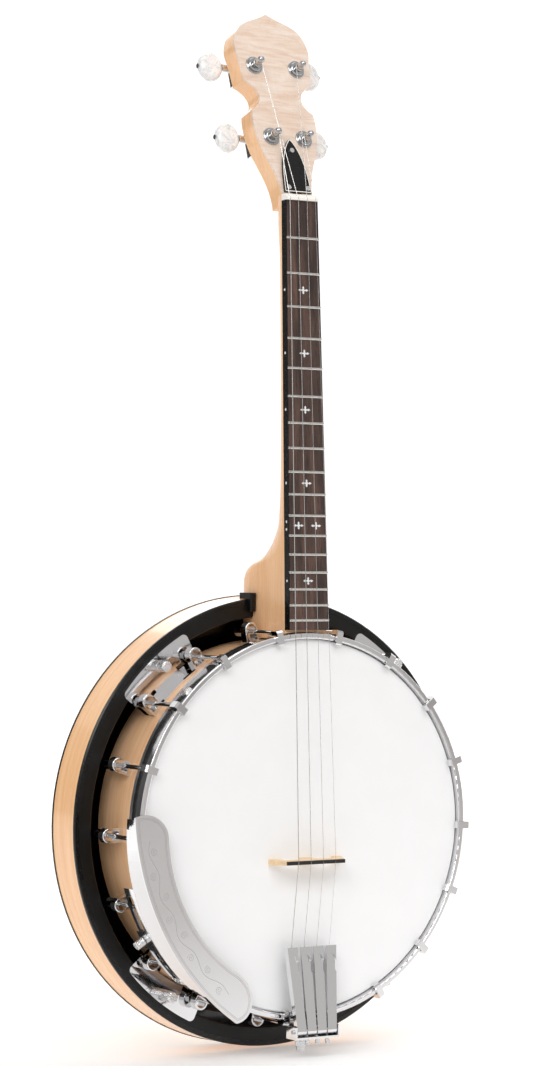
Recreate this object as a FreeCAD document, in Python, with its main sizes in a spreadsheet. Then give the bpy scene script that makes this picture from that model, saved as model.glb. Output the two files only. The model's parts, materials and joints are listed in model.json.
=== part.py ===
import FreeCAD, Part
import math
import os
import Sketcher

# Four-string tenor banjo with a resonator, in millimetres.
# It is drawn about the middle of the drum head: +X is the viewer's right, +Y runs from the
# head towards the back, +Z runs up the neck. At the end every part moves by one shift, so that
# the origin lies on the flat middle of the resonator's back.

V = FreeCAD.Vector
Rotation = FreeCAD.Rotation
Placement = FreeCAD.Placement

doc = FreeCAD.newDocument("Banjo")

# ---------------------------------------------------------------- driving dimensions

DIMENSIONS = (
    ("rim_radius", 138.0), ("rim_wall", 12.0), ("rim_front", 6.4), ("rim_back", 70.0),
    ("tone_hoop_radius", 135.0), ("tone_hoop_section", 3.0),
    ("film", 0.4), ("film_radius", 140.0), ("film_depth", 14.0), ("film_shoulder", 1.0),
    ("hoop_inner", 140.4), ("hoop_outer", 144.9), ("hoop_front", -4.2), ("hoop_back", 9.0),
    ("hoop_edge", 1.2), ("flesh_outer", 144.0),
    ("hook_first", 10.6), ("hook_pitch", 20.28), ("hook_wire", 1.7), ("hook_circle", 147.3),
    ("hook_tip", 137.9), ("hook_top", -6.4), ("hook_strap", 2.1), ("hook_width", 5.2),
    ("hook_end", 52.5), ("hook_tip_depth", -1.6),
    ("shoe_front", 33.0), ("shoe_length", 8.0), ("shoe_radius", 5.5), ("shoe_edge", 0.8),
    ("shoe_middle", 149.3), ("shoe_wall", 1.6), ("shoe_cup", 5.0),
    ("shoe_bolt", 2.4), ("nut_circumradius", 4.04), ("nut_length", 12.8),
    ("rod_radius", 4.0), ("rod_front", 30.0), ("rod_behind", 54.0), ("lag_radius", 3.0),
    ("scale_length", 506.3), ("nut_height", 470.6), ("nut_depth", 11.3), ("neck_tilt", 2.73),
    ("fret_total", 17), ("nut_half_width", 14.3), ("end_half_width", 17.73),
    ("board_length", 323.8), ("board_thickness", 6.0), ("binding", 0.9),
    ("fret_crown", 1.1), ("fret_height", 1.0), ("fret_tang", 0.6), ("fret_tang_depth", 1.8),
    ("peghead_tilt", 18.4), ("peghead_height", 473.6), ("peghead_depth", 16.7),
    ("veneer", 2.0), ("peghead_thickness", 16.7),
    ("upper_post_x", 19.0), ("upper_post_up", 108.0), ("lower_post_x", 14.6), ("lower_post_up", 49.1),
    ("worm_offset", 6.7), ("worm_radius", 2.0), ("worm_depth", 22.2), ("gear_radius", 4.4),
    ("gear_teeth", 14), ("post_radius", 3.0), ("post_neck", 2.6), ("bushing_radius", 5.0),
    ("running_gap", 0.05), ("button_half_width", 9.9), ("button_half_height", 11.5),
    ("button_thickness", 8.5), ("button_edge", 3.4), ("button_start", 15.6),
    ("bridge_up", -26.0), ("bridge_height", 17.4), ("bridge_half_base", 31.6),
    ("bridge_half_top", 25.6), ("bridge_base_thickness", 4.6), ("bridge_top_thickness", 2.7),
    ("bridge_cap", 1.6), ("pin_depth", -17.5), ("pin_height", -151.3), ("tail_tilt", 7.8),
    ("finger_length", 62.3), ("finger_face", 3.0), ("finger_plate", 1.3), ("finger_pin", 1.5),
    ("rest_depth", 97.0), ("rest_radius", 60.0), ("back_plate", 4.0), ("back_front", 78.4),
    ("band_front", 47.0), ("band_inner", 156.5), ("wall_inner", 166.4), ("wall_front_radius", 171.0),
    ("wall_back_radius", 171.6), ("purfling", 2.2), ("notch_half_width", 17.8),
    ("notch_back", 67.4), ("bracket_plate", 1.5), ("bracket_outer", 164.0), ("bracket_span", 25.0),
    ("thumb_circle", 158.5), ("thumb_angle", 41.0), ("thumb_low_angle", 142.6), ("thumb_shank", 2.0),
    ("lug_radius", 3.6),
    ("armrest_front", -11.0), ("armrest_plate", 1.4),
)

sheet = doc.addObject("Spreadsheet::Sheet", "Dimensions")
for row, (alias, value) in enumerate(DIMENSIONS, 1):
    sheet.set("A%d" % row, alias)
    sheet.set("B%d" % row, str(value))
    sheet.setAlias("B%d" % row, alias)
doc.recompute()

ORIGIN = V(0, 0, 0)
AXIS_X = V(1, 0, 0)
AXIS_Y = V(0, 1, 0)
AXIS_Z = V(0, 0, 1)
parts = {}


def dim(alias):
    """A driving dimension as a plain number."""
    return float(getattr(sheet, alias))


def cell(expression):
    """Every driving dimension named in an expression gets the sheet's name before it."""
    words = []
    for word in expression.split():
        words.append("Dimensions." + word if word[0].isalpha() else word)
    return " ".join(words)


def number(expression):
    """The value that an expression has now, for a sketch's first geometry."""
    return float(sheet.evalExpression(cell(expression)))


# ---------------------------------------------------------------- helpers


def keep(node, item):
    """Names an object as a sub-part of the banjo."""
    item.Label = node
    parts[node] = item
    return item


def new_body(name, placement=None):
    body = doc.addObject("PartDesign::Body", name)
    if placement:
        body.Placement = placement
    return body


def sketch_on(body, role, offset=None):
    """A sketch on one of the body's own origin planes, moved along or turned by an offset."""
    plane = next(item for item in body.Origin.OriginFeatures if item.Role == role)
    sketch = body.newObject("Sketcher::SketchObject", body.Name + "_sketch")
    sketch.AttachmentSupport = [(plane, "")]
    sketch.MapMode = "FlatFace"
    if offset is not None:
        sketch.AttachmentOffset = Placement(V(0, 0, offset), Rotation())
    return sketch


def pin_point(sketch, edge, end, point):
    """Holds one end of an edge at two expressions, measured from the sketch's origin."""
    for kind, expression in zip(("DistanceX", "DistanceY"), point):
        constraint = Sketcher.Constraint(kind, -1, 1, edge, end, number(expression))
        index = sketch.addConstraint(constraint)
        sketch.setExpression("Constraints[%d]" % index, cell(expression))


def chain(sketch, points):
    """A closed outline of straight edges through points given as pairs of expressions."""
    spots = [V(number(x), number(y), 0) for x, y in points]
    first, count = sketch.GeometryCount, len(spots)
    for index in range(count):
        sketch.addGeometry(Part.LineSegment(spots[index], spots[(index + 1) % count]), False)
    for index in range(count):
        following = first + (index + 1) % count
        sketch.addConstraint(Sketcher.Constraint("Coincident", first + index, 2, following, 1))
    for index in range(count):
        pin_point(sketch, first + index, 1, points[index])


def circle(sketch, x, y, radius):
    """A circle whose centre and radius are expressions."""
    edge = sketch.addGeometry(Part.Circle(V(number(x), number(y), 0), AXIS_Z, number(radius)), False)
    pin_point(sketch, edge, 3, (x, y))
    index = sketch.addConstraint(Sketcher.Constraint("Radius", edge, number(radius)))
    sketch.setExpression("Constraints[%d]" % index, cell(radius))


def pad(body, sketch, length, symmetric=False, backwards=False):
    feature = body.newObject("PartDesign::Pad", body.Name + "_pad")
    feature.Profile = sketch
    feature.setExpression("Length", cell(length))
    feature.Midplane = symmetric
    feature.Reversed = backwards
    doc.recompute()
    return feature


def pocket(body, sketch, length, symmetric=False, backwards=False):
    """Cuts a pocket, and stops if it has cut nothing."""
    before = body.Shape.Volume
    feature = body.newObject("PartDesign::Pocket", body.Name + "_pocket")
    feature.Profile = sketch
    feature.setExpression("Length", cell(length))
    feature.Midplane = symmetric
    feature.Reversed = backwards
    doc.recompute()
    if body.Shape.Volume > before - 1e-6:
        raise RuntimeError(body.Name + ": a pocket cut nothing")
    return feature


def turned(body, sketch, angle=360.0):
    """Revolves a sketch of radius and depth about the drum's axis."""
    feature = body.newObject("PartDesign::Revolution", body.Name + "_turned")
    feature.Profile = sketch
    feature.ReferenceAxis = (sketch, ["V_Axis"])
    feature.Angle = angle
    feature.Midplane = angle < 360.0
    doc.recompute()
    return feature


def ring(name, points, angle=360.0):
    """A body turned about the drum's axis from corners given as (radius, depth)."""
    body = new_body(name)
    sketch = sketch_on(body, "XY_Plane")
    chain(sketch, points)
    turned(body, sketch, angle)
    return body


def rounded(body, feature, radius, chosen):
    """Fillets the edges that a test picks out."""
    names = []
    for index, edge in enumerate(feature.Shape.Edges, 1):
        if chosen(edge):
            names.append("Edge%d" % index)
    fillet = body.newObject("PartDesign::Fillet", body.Name + "_round")
    fillet.Base = (feature, names)
    fillet.setExpression("Radius", cell(radius))
    doc.recompute()
    return fillet


def cut(name, base, tool):
    item = doc.addObject("Part::Cut", name)
    item.Base = base
    item.Tool = tool
    doc.recompute()
    return item


def shaped(name, shape, placement=None):
    """A Part::Feature from a shape that is worked out in code from the sheet."""
    item = doc.addObject("Part::Feature", name)
    item.Shape = shape
    if placement:
        item.Placement = placement
    return item


def group(name, shapes, placement=None):
    return shaped(name, Part.makeCompound(shapes), placement)


def rod(start, end, radius):
    """A plain cylinder between two points."""
    return Part.makeCylinder(radius, start.distanceToPoint(end), start, end - start)


def box(low, high):
    return Part.makeBox(high[0] - low[0], high[1] - low[1], high[2] - low[2], V(*low))


def prism(points, direction):
    """A flat outline of points, extruded."""
    corners = [V(*point) for point in points]
    return Part.Face(Part.makePolygon(corners + corners[:1])).extrude(V(*direction))


def around(shape, angle):
    """A copy turned about the drum's axis; the angle runs from the neck towards +X."""
    copy = shape.copy()
    copy.rotate(ORIGIN, AXIS_Y, angle)
    return copy


def polar(angle, radius, depth):
    turn = math.radians(angle)
    return V(radius * math.sin(turn), depth, radius * math.cos(turn))


def sector(inner, outer, front, back, middle, span):
    """A block of a ring, cut out between two angles and two depths."""
    profile = Part.makePolygon([V(0, front, inner), V(0, front, outer), V(0, back, outer),
                                V(0, back, inner), V(0, front, inner)])
    block = Part.Face(profile).revolve(ORIGIN, AXIS_Y, span)
    return around(block, middle - span / 2)


HOOKS_A_SIDE = 9
HOOK_ANGLES = [sign * (dim("hook_first") + index * dim("hook_pitch"))
               for index in range(HOOKS_A_SIDE) for sign in (-1, 1)]
BRACKET_ANGLES = [sign * angle for angle in (dim("thumb_angle"), dim("thumb_low_angle"))
                  for sign in (-1, 1)]


def leaning(base, tilt):
    """A frame whose Z leans towards the back by a tilt in degrees."""
    return Placement(base, Rotation(AXIS_X, -tilt))


NECK = leaning(V(0, dim("nut_depth"), dim("nut_height")), dim("neck_tilt"))
PEGHEAD = leaning(V(0, dim("peghead_depth"), dim("peghead_height")), dim("peghead_tilt"))
TAIL = leaning(V(0, dim("pin_depth"), dim("pin_height")), dim("tail_tilt"))

# ---------------------------------------------------------------- drum: rim, head and hoops

RIM_INNER = dim("rim_radius") - dim("rim_wall")
rim_blank = ring("rim_blank", [
    ("rim_radius - rim_wall", "rim_front"), ("rim_radius", "rim_front"),
    ("rim_radius", "rim_back"), ("rim_radius - rim_wall", "rim_back")])


def radial(angle, depth, low, high, radius):
    """A round hole or bolt that points out from the drum's axis."""
    return rod(polar(angle, low, depth), polar(angle, high, depth), radius)


HOLE_PLAY = 0.1
rim_drills = [radial(angle, dim("shoe_front") + dim("shoe_length") / 2, 120, 145,
                     dim("shoe_bolt") + HOLE_PLAY) for angle in HOOK_ANGLES]
for end in (0, 180):
    for depth in (dim("rod_front"), dim("rod_behind")):
        rim_drills.append(radial(end, depth, 120, 145, dim("lag_radius") + HOLE_PLAY))
keep("rim", cut("rim", rim_blank, group("rim_drills", rim_drills)))

tone_hoop = doc.addObject("Part::Torus", "tone_hoop")
tone_hoop.setExpression("Radius1", cell("tone_hoop_radius"))
tone_hoop.setExpression("Radius2", cell("tone_hoop_section"))
tone_hoop.Placement = Placement(V(0, dim("film") + dim("tone_hoop_section"), 0), Rotation(AXIS_X, 90))
keep("tone_hoop", tone_hoop)

keep("drum_head", ring("drum_head", [
    ("0", "0"), ("film_radius - film_shoulder", "0"), ("film_radius", "film_shoulder"),
    ("film_radius", "film_depth"), ("film_radius - film", "film_depth"),
    ("film_radius - film", "film_shoulder + 0.2"), ("film_radius - film_shoulder - 0.2", "film"),
    ("0", "film")]))

flesh_hoop = ring("flesh_hoop", [
    ("film_radius + 0.02", "hoop_back + 0.02"), ("flesh_outer", "hoop_back + 0.02"),
    ("flesh_outer", "film_depth"), ("film_radius + 0.02", "film_depth")])
keep("flesh_hoop", flesh_hoop)

tension_hoop = ring("tension_hoop", [
    ("hoop_inner", "hoop_front"), ("hoop_outer", "hoop_front"),
    ("hoop_outer", "hoop_back"), ("hoop_inner", "hoop_back")])
rounded(tension_hoop, tension_hoop.Tip, "hoop_edge",
        lambda edge: edge.BoundBox.YMax < dim("hoop_front") + 0.01)
keep("tension_hoop", tension_hoop)

# ---------------------------------------------------------------- hooks, shoes, bolts and nuts


SHOE_CENTRE = dim("shoe_front") + dim("shoe_length") / 2


def hook_body():
    """A hook: a round shank under a wide flat claw that laps over the hoop."""
    body = new_body("hook_master")
    claw = sketch_on(body, "YZ_Plane")
    outside, inside = "hook_circle + hook_wire", "hook_circle - hook_wire"
    chain(claw, [
        ("2", outside), ("hook_top + 1.4", outside), ("hook_top", outside + " - 1.4"),
        ("hook_top", "hook_tip + 1"), ("hook_top + 1", "hook_tip"), ("hook_tip_depth", "hook_tip"),
        ("hook_tip_depth", "hook_tip + 1.9"), ("hook_top + hook_strap", "hook_tip + 1.9"),
        ("hook_top + hook_strap", inside), ("2", inside)])
    pad(body, claw, "hook_width", symmetric=True)
    section = sketch_on(body, "XZ_Plane", -dim("hook_end"))
    circle(section, "0", "hook_circle", "hook_wire")
    pad(body, section, "hook_end - 1")
    return body


def rounded_end(sketch, radius, middle, foot):
    """A flat foot with two straight sides and a half round end, drawn across the drum."""
    sketch.addGeometry([
        Part.ArcOfCircle(Part.Circle(V(0, middle, 0), AXIS_Z, radius), 0, math.pi),
        Part.LineSegment(V(-radius, middle, 0), V(-radius, foot, 0)),
        Part.LineSegment(V(-radius, foot, 0), V(radius, foot, 0)),
        Part.LineSegment(V(radius, foot, 0), V(radius, middle, 0))], False)


def shoe_body():
    """A cup-shaped shoe, open to the front, with its foot on the rim and the hook through its floor."""
    body = new_body("shoe_master")
    radius, middle, foot = dim("shoe_radius"), dim("shoe_middle"), dim("rim_radius") - 4
    front, back = dim("shoe_front"), dim("shoe_front") + dim("shoe_length")
    sketch = sketch_on(body, "XZ_Plane", -front)
    rounded_end(sketch, radius, middle, foot)
    block = pad(body, sketch, "shoe_length", backwards=True)

    def at_an_end(edge):
        flat = edge.BoundBox.YLength < 0.01 and edge.BoundBox.ZMax > foot + 0.01
        return flat and min(abs(edge.BoundBox.YMin - front), abs(edge.BoundBox.YMin - back)) < 0.01

    rounded(body, block, "shoe_edge", at_an_end)
    cup = sketch_on(body, "XZ_Plane", -front)
    rounded_end(cup, radius - dim("shoe_wall"), middle, dim("rim_radius") + 3.2)
    pocket(body, cup, "shoe_cup")
    bore = sketch_on(body, "XZ_Plane", -SHOE_CENTRE)
    circle(bore, "0", "hook_circle", "hook_wire + 0.2")
    pocket(body, bore, "shoe_length + 4", symmetric=True)
    thread = sketch_on(body, "XY_Plane", foot)
    circle(thread, "0", "shoe_front + shoe_length / 2", "shoe_bolt + 0.05")
    pocket(body, thread, "8.4", backwards=True)
    return body


hook = hook_body().Shape
shoe = shoe_body().Shape

BRACKET_SKIN = dim("rim_radius") + 0.05 + dim("bracket_plate")
on_the_rim = Part.makeCylinder(dim("rim_radius") + 0.02, 60, ORIGIN, AXIS_Y)
under_bracket = Part.makeCylinder(BRACKET_SKIN + 0.03, 60, ORIGIN, AXIS_Y)


def on_bracket(angle):
    """A shoe beside a bracket's middle stands on the bracket's plate."""
    turns = [abs((angle - middle + 180) % 360 - 180) for middle in BRACKET_ANGLES]
    return min(turns) < dim("bracket_span") / 2


shoes = []
for angle in HOOK_ANGLES:
    placed = around(shoe, angle)
    shoes.append(placed.cut(under_bracket if on_bracket(angle) else on_the_rim))
keep("hook_shoes", group("hook_shoes", shoes))


def hook_nut():
    """A long closed nut: a hexagon with a turned end, hollow for the hook's thread."""
    start = dim("shoe_front") + dim("shoe_length") + 0.05
    radius, length, end_cap = dim("nut_circumradius"), dim("nut_length"), 1.0
    corners = []
    for index in range(6):
        turn = math.radians(60 * index)
        corners.append(V(radius * math.cos(turn), start, dim("hook_circle") + radius * math.sin(turn)))
    hexagon = Part.Face(Part.makePolygon(corners + corners[:1])).extrude(V(0, length, 0))
    envelope = Part.makeCylinder(radius - 0.25, length, V(0, start, dim("hook_circle")), AXIS_Y)
    rim_edge = [edge for edge in envelope.Edges if edge.BoundBox.YMin > start + length - 0.01]
    turned_end = envelope.makeFillet(1.4, rim_edge)
    bore = Part.makeCylinder(dim("hook_wire") + 0.05, length - end_cap,
                             V(0, start, dim("hook_circle")), AXIS_Y)
    return hexagon.common(turned_end).cut(bore)


nut_shape = hook_nut()
keep("hook_nuts", group("hook_nuts", [around(nut_shape, angle) for angle in HOOK_ANGLES]))


def shoe_bolt(angle):
    """A bolt from inside the rim into the shoe, with its washer."""
    depth = SHOE_CENTRE
    washer_top = RIM_INNER - 0.2
    washer = radial(angle, depth, washer_top - 1.0, washer_top, 6.0)
    washer = washer.cut(radial(angle, depth, 120, 130, dim("shoe_bolt") + 0.2))
    head_top = washer_top - 1.02
    head = radial(angle, depth, head_top - 3.0, head_top, 4.0)
    shank = radial(angle, depth, head_top - 1.0, dim("rim_radius") + 4.2, dim("shoe_bolt"))
    return [washer, head.fuse(shank)]


bolts = []
for angle in HOOK_ANGLES:
    bolts += shoe_bolt(angle)
keep("shoe_bolts", group("shoe_bolts", bolts))

# ---------------------------------------------------------------- coordinator rods

ROD_REACH = 116.0
LAG_OVERLAP = 12.0
ROD_DEPTHS = (dim("rod_front"), dim("rod_behind"))


def coordinator_rod(depth):
    """A rod across the drum, tapped at both ends."""
    tube = rod(V(0, depth, -ROD_REACH), V(0, depth, ROD_REACH), dim("rod_radius"))
    for sign in (-1, 1):
        end = V(0, depth, sign * ROD_REACH)
        bore = rod(end, V(0, depth, sign * (ROD_REACH - LAG_OVERLAP - 1)), dim("lag_radius") + 0.05)
        tube = tube.cut(bore)
    return tube


def hex_nut(depth, low, high, across):
    """A hexagon nut on a bolt that lies along Z."""
    corners = []
    for index in range(6):
        turn = math.radians(60 * index)
        corners.append(V(across * math.cos(turn), depth + across * math.sin(turn), low))
    block = Part.Face(Part.makePolygon(corners + corners[:1])).extrude(V(0, 0, high - low))
    return block.cut(rod(V(0, depth, low - 1), V(0, depth, high + 1), dim("lag_radius") + 0.05))


keep("coordinator_rods", group("coordinator_rods", [coordinator_rod(depth) for depth in ROD_DEPTHS]))

LAG_END = 172.0
lags = [rod(V(0, depth, ROD_REACH - LAG_OVERLAP), V(0, depth, LAG_END), dim("lag_radius"))
        for depth in ROD_DEPTHS]
keep("heel_bolts", group("heel_bolts", lags))

FOOT_OUT = 139.8
INSIDE_NUT = 125.4
rod_fittings = []
for depth in ROD_DEPTHS:
    rod_fittings.append(hex_nut(depth, -INSIDE_NUT, -INSIDE_NUT + 5, 5.8))
    rod_fittings.append(hex_nut(depth, INSIDE_NUT - 5, INSIDE_NUT, 5.8))
tail_end = -(dim("rim_radius") + 6.5)
rod_fittings.append(rod(V(0, dim("rod_behind"), -ROD_REACH + LAG_OVERLAP),
                        V(0, dim("rod_behind"), tail_end - 1.0), dim("lag_radius")))
rod_fittings.append(hex_nut(dim("rod_behind"), tail_end, tail_end + 5.8, 5.8))
keep("rod_nuts", group("rod_nuts", rod_fittings))

# ---------------------------------------------------------------- neck and peghead

BOARD_FACE_SLOPE = math.tan(math.radians(dim("neck_tilt")))


def board_depth(height):
    """Depth of the fingerboard's playing face at a height."""
    return dim("nut_depth") + (height - dim("nut_height")) * BOARD_FACE_SLOPE


def half_width(height):
    """Half the fingerboard's width at a height."""
    share = (dim("nut_height") - height) / dim("board_length")
    return dim("nut_half_width") + (dim("end_half_width") - dim("nut_half_width")) * share


# Height, thickness of the wood behind the fingerboard, and squareness of the section.
NECK_PROFILE = ((474.6, 14.5, 2.2), (449.0, 14.6, 2.1), (429.0, 12.5, 2.0), (359.0, 12.4, 2.0),
                (324.6, 12.9, 2.0), (270.0, 14.9, 2.0), (228.7, 19.1, 2.2), (219.5, 23.3, 2.5),
                (210.3, 28.9, 3.2), (202.2, 36.6, 4.5), (198.4, 45.0, 5.5), (196.6, 50.5, 6.5),
                (194.4, 54.8, 7.5), (190.3, 60.1, 8.5), (184.0, 62.9, 9.5), (172.0, 63.6, 9.5),
                (155.0, 64.4, 9.5), (136.0, 65.3, 9.5))


def between_points(before, start, stop, after, share):
    """A value between two points of a smooth curve through four."""
    rise = (stop[0] - before[0]) / max(stop[1] - before[1], 1e-9)
    fall = (after[0] - start[0]) / max(after[1] - start[1], 1e-9)
    span = stop[1] - start[1]
    cube, square = share ** 3, share ** 2
    return ((2 * cube - 3 * square + 1) * start[0] + (cube - 2 * square + share) * span * rise
            + (3 * square - 2 * cube) * stop[0] + (cube - square) * span * fall)


def smooth_profile(profile, steps):
    """The neck's profile with even steps between its given sections."""
    lengths = [0.0]
    for above, below in zip(profile, profile[1:]):
        lengths.append(lengths[-1] + math.hypot(above[0] - below[0], above[1] - below[1]))
    dense = []
    last = len(profile) - 1
    for index in range(last):
        near = [max(index - 1, 0), index, index + 1, min(index + 2, last)]
        for step in range(steps):
            row = []
            for column in range(3):
                points = [(profile[spot][column], lengths[spot]) for spot in near]
                row.append(between_points(*points, step / steps))
            dense.append(row)
    return dense + [list(profile[-1])]


def neck_section(height, thickness, squareness):
    """A flat top and a rounded back, between an ellipse and a rounded block."""
    wide = half_width(height)
    top = board_depth(height) + dim("board_thickness") / math.cos(math.radians(dim("neck_tilt"))) + 0.01
    steps = 24
    back = []
    for step in range(steps + 1):
        turn = math.pi * step / steps
        across = math.copysign(abs(math.cos(turn)) ** (2 / squareness), math.cos(turn))
        down = abs(math.sin(turn)) ** (2 / squareness)
        back.append(V(wide * across, top + thickness * down, height))
    curve = Part.BSplineCurve()
    curve.interpolate(back)
    return Part.Wire([Part.LineSegment(back[-1], back[0]).toShape(), curve.toShape()])


def smooth(points):
    """A curve through points given as (across, up) on the peghead."""
    curve = Part.BSplineCurve()
    curve.interpolate([V(x, 0, up) for x, up in points])
    return curve.toShape()


PEGHEAD_SIDE = ((13.6, -6.0), (13.3, 3.0), (14.6, 12.1), (17.5, 22.2), (21.1, 31.3), (25.0, 41.4),
                (27.4, 52.5), (28.1, 62.6), (27.4, 70.7))
PEGHEAD_WAIST = ((27.4, 70.7), (22.0, 74.9), (18.9, 80.3), (19.8, 86.4), (23.8, 91.5), (30.2, 95.5))
PEGHEAD_CROWN = ((30.2, 95.5), (31.0, 105.0), (32.0, 114.1), (33.4, 121.7), (32.0, 130.3),
                 (26.4, 139.8), (15.2, 146.2), (0.0, 153.1))


def peghead_face(foot):
    """The peghead's outline, cut off below a height on its own face."""
    right = [smooth(points) for points in (PEGHEAD_SIDE, PEGHEAD_WAIST, PEGHEAD_CROWN)]
    left = [edge.mirror(ORIGIN, AXIS_X) for edge in right]
    x, up = PEGHEAD_SIDE[0]
    base = Part.LineSegment(V(-x, 0, up), V(x, 0, up)).toShape()
    face = Part.Face(Part.Wire(Part.__sortEdges__(right + left + [base])))
    return face.common(box((-60, -1, foot), (60, 1, 180)))


def peghead_slab(front, back, foot):
    outline = peghead_face(foot)
    outline.translate(V(0, front, 0))
    return outline.extrude(V(0, back - front, 0))


def peghead_shape(name, shape):
    return shaped(name, shape, PEGHEAD)


POSTS = (
    (-dim("lower_post_x"), dim("lower_post_up")), (-dim("upper_post_x"), dim("upper_post_up")),
    (dim("upper_post_x"), dim("upper_post_up")), (dim("lower_post_x"), dim("lower_post_up")))
TUNER_SCREW_DROP = 12.0
TUNER_FRONT = dim("peghead_thickness") + 0.05
TRUSS_DEPTH = 11.5
TRUSS_RADIUS = 2.8
COVER_SCREWS = ((-8.6, 6.6), (8.6, 6.6), (0.0, 37.5))
WOOD_SCREW = 1.1

post_holes = [rod(V(x, -1, up), V(x, 18, up), dim("bushing_radius") + 0.1) for x, up in POSTS]
screw_holes = [rod(V(x, 9, up - TUNER_SCREW_DROP), V(x, 18, up - TUNER_SCREW_DROP), WOOD_SCREW)
               for x, up in POSTS]
cover_holes = [rod(V(x, -1, up), V(x, 8, up), WOOD_SCREW) for x, up in COVER_SCREWS]
peghead_tools = Part.makeCompound(post_holes + screw_holes + cover_holes)

sections = [neck_section(*section) for section in smooth_profile(NECK_PROFILE, 3)]
shaft = Part.makeLoft(sections, True, True)
core = peghead_slab(dim("veneer"), dim("peghead_thickness"), -5.0)
core.Placement = PEGHEAD
blank = shaft.fuse(core)

drum_clearance = Part.makeCylinder(dim("hoop_outer") + 0.4, 24.3, V(0, -10, 0), AXIS_Y)
rim_seat = Part.makeCylinder(dim("rim_radius") + 0.02, 100, V(0, 0, 0), AXIS_Y)
heel_drills = [rod(V(0, depth, 130), V(0, depth, LAG_END + 1), dim("lag_radius") + 0.05)
               for depth in ROD_DEPTHS]
truss_bore = rod(V(0, TRUSS_DEPTH, -312), V(0, TRUSS_DEPTH, 14), TRUSS_RADIUS + 0.1)
truss_bore = truss_bore.fuse(rod(V(0, TRUSS_DEPTH, 2.0), V(0, TRUSS_DEPTH, 30), 4.2))
truss_bore.Placement = NECK
peghead_tools.Placement = PEGHEAD
neck_tools = [drum_clearance, rim_seat, truss_bore, peghead_tools] + heel_drills
keep("neck", cut("neck", shaped("neck_blank", blank), group("neck_tools", neck_tools)))

VENEER_FOOT = 1.6
veneer = peghead_slab(0, dim("veneer") - 0.01, VENEER_FOOT)
window = box((-4.6, -1, VENEER_FOOT - 1), (4.6, 5, 22.0))
veneer = veneer.cut(Part.makeCompound(post_holes + cover_holes)).cut(window)
keep("peghead_veneer", peghead_shape("peghead_veneer", veneer))

# ---------------------------------------------------------------- fingerboard, frets and nut

FRET_TOTAL = int(dim("fret_total"))
FRET_DROPS = [dim("scale_length") * (1 - 2 ** (-index / 12)) for index in range(FRET_TOTAL + 1)]


def board_half_width(drop):
    share = drop / dim("board_length")
    return dim("nut_half_width") + (dim("end_half_width") - dim("nut_half_width")) * share


def board_strip(name, corners):
    """A flat strip of the fingerboard's thickness, drawn on its playing face."""
    body = new_body(name, NECK)
    sketch = sketch_on(body, "XZ_Plane")
    chain(sketch, corners)
    pad(body, sketch, "board_thickness", backwards=True)
    return body


board_blank = board_strip("board_blank", [
    ("nut_half_width - binding", "0"), ("end_half_width - binding", "0 - board_length"),
    ("0 - end_half_width + binding", "0 - board_length"),
    ("0 - nut_half_width + binding", "0")])


def tang(drop, play=0.0):
    wide = board_half_width(drop) - dim("binding")
    half = dim("fret_tang") / 2 + play
    return box((-wide, 0, -drop - half), (wide, dim("fret_tang_depth") + play, -drop + half))


def fret(drop):
    """A fret: a low crown across the board on a tang in its slot."""
    wide = board_half_width(drop) - 0.1
    crown = rod(V(-wide, dim("fret_crown") - dim("fret_height"), -drop),
                V(wide, dim("fret_crown") - dim("fret_height"), -drop), dim("fret_crown"))
    crown = crown.common(box((-wide, -2, -drop - 2), (wide, 0, -drop + 2)))
    return crown.fuse(tang(drop))


def marker(x, drop):
    """A pearl cross of four small spear leaves around a disc, flush in the board."""
    arms = [(4.6, 0.0), (-4.6, 0.0), (0.0, 3.1), (0.0, -3.1)]
    leaf = 0.95
    pieces = [Part.makeCylinder(1.25, 1.0, V(x, 0, -drop), AXIS_Y)]
    for right, up in arms:
        length = math.hypot(right, up)
        side = V(-up / length * leaf, 0, right / length * leaf)
        tip = V(x + right, 0, -drop + up)
        middle = V(x + right * 0.62, 0, -drop + up * 0.62)
        root = V(x + right * 0.15, 0, -drop + up * 0.15)
        corners = [root, middle + side, tip, middle - side, root]
        pieces.append(Part.Face(Part.makePolygon(corners)).extrude(V(0, 1.0, 0)))
    whole = pieces[0]
    for piece in pieces[1:]:
        whole = whole.fuse(piece)
    return whole.removeSplitter()


MARKER_FRETS = (3, 5, 7, 10, 15)
DOUBLE_FRET = 12
DOUBLE_SPREAD = 7.8


def between(index):
    return (FRET_DROPS[index - 1] + FRET_DROPS[index]) / 2


pearls = [marker(0, between(index)) for index in MARKER_FRETS]
pearls += [marker(sign * DOUBLE_SPREAD, between(DOUBLE_FRET)) for sign in (-1, 1)]


def side_dot(drop):
    """A white dot let into the binding on the player's side."""
    wide = board_half_width(drop)
    return rod(V(-wide - 0.02, 2.6, -drop), V(-wide + 0.8, 2.6, -drop), 1.0)


dot_drops = [between(index) for index in MARKER_FRETS]
dot_drops += [between(DOUBLE_FRET) + offset for offset in (-2.9, 2.9)]
dots = [side_dot(drop) for drop in dot_drops]
slots = [tang(drop, 0.01) for drop in FRET_DROPS[1:]]
board_tools = Part.makeCompound(slots + pearls)
board_tools.Placement = NECK
keep("fretboard", cut("fretboard", board_blank, shaped("board_tools", board_tools)))

strips = []
for sign in ("", "0 - "):
    outer = [sign + "nut_half_width", sign + "end_half_width"]
    inner = [edge + (" + binding" if sign else " - binding") for edge in outer]
    strip = board_strip("binding_strip", [
        (inner[0], "0"), (outer[0], "0"), (outer[1], "0 - board_length"),
        (inner[1], "0 - board_length")])
    strips.append(strip.Shape)
dot_tools = Part.makeCompound(dots)
dot_tools.Placement = NECK
keep("fretboard_binding", group("fretboard_binding", [strip.cut(dot_tools) for strip in strips]))
keep("frets", group("frets", [fret(drop) for drop in FRET_DROPS[1:]], NECK))
keep("fret_markers", group("fret_markers", pearls + dots, NECK))

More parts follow.
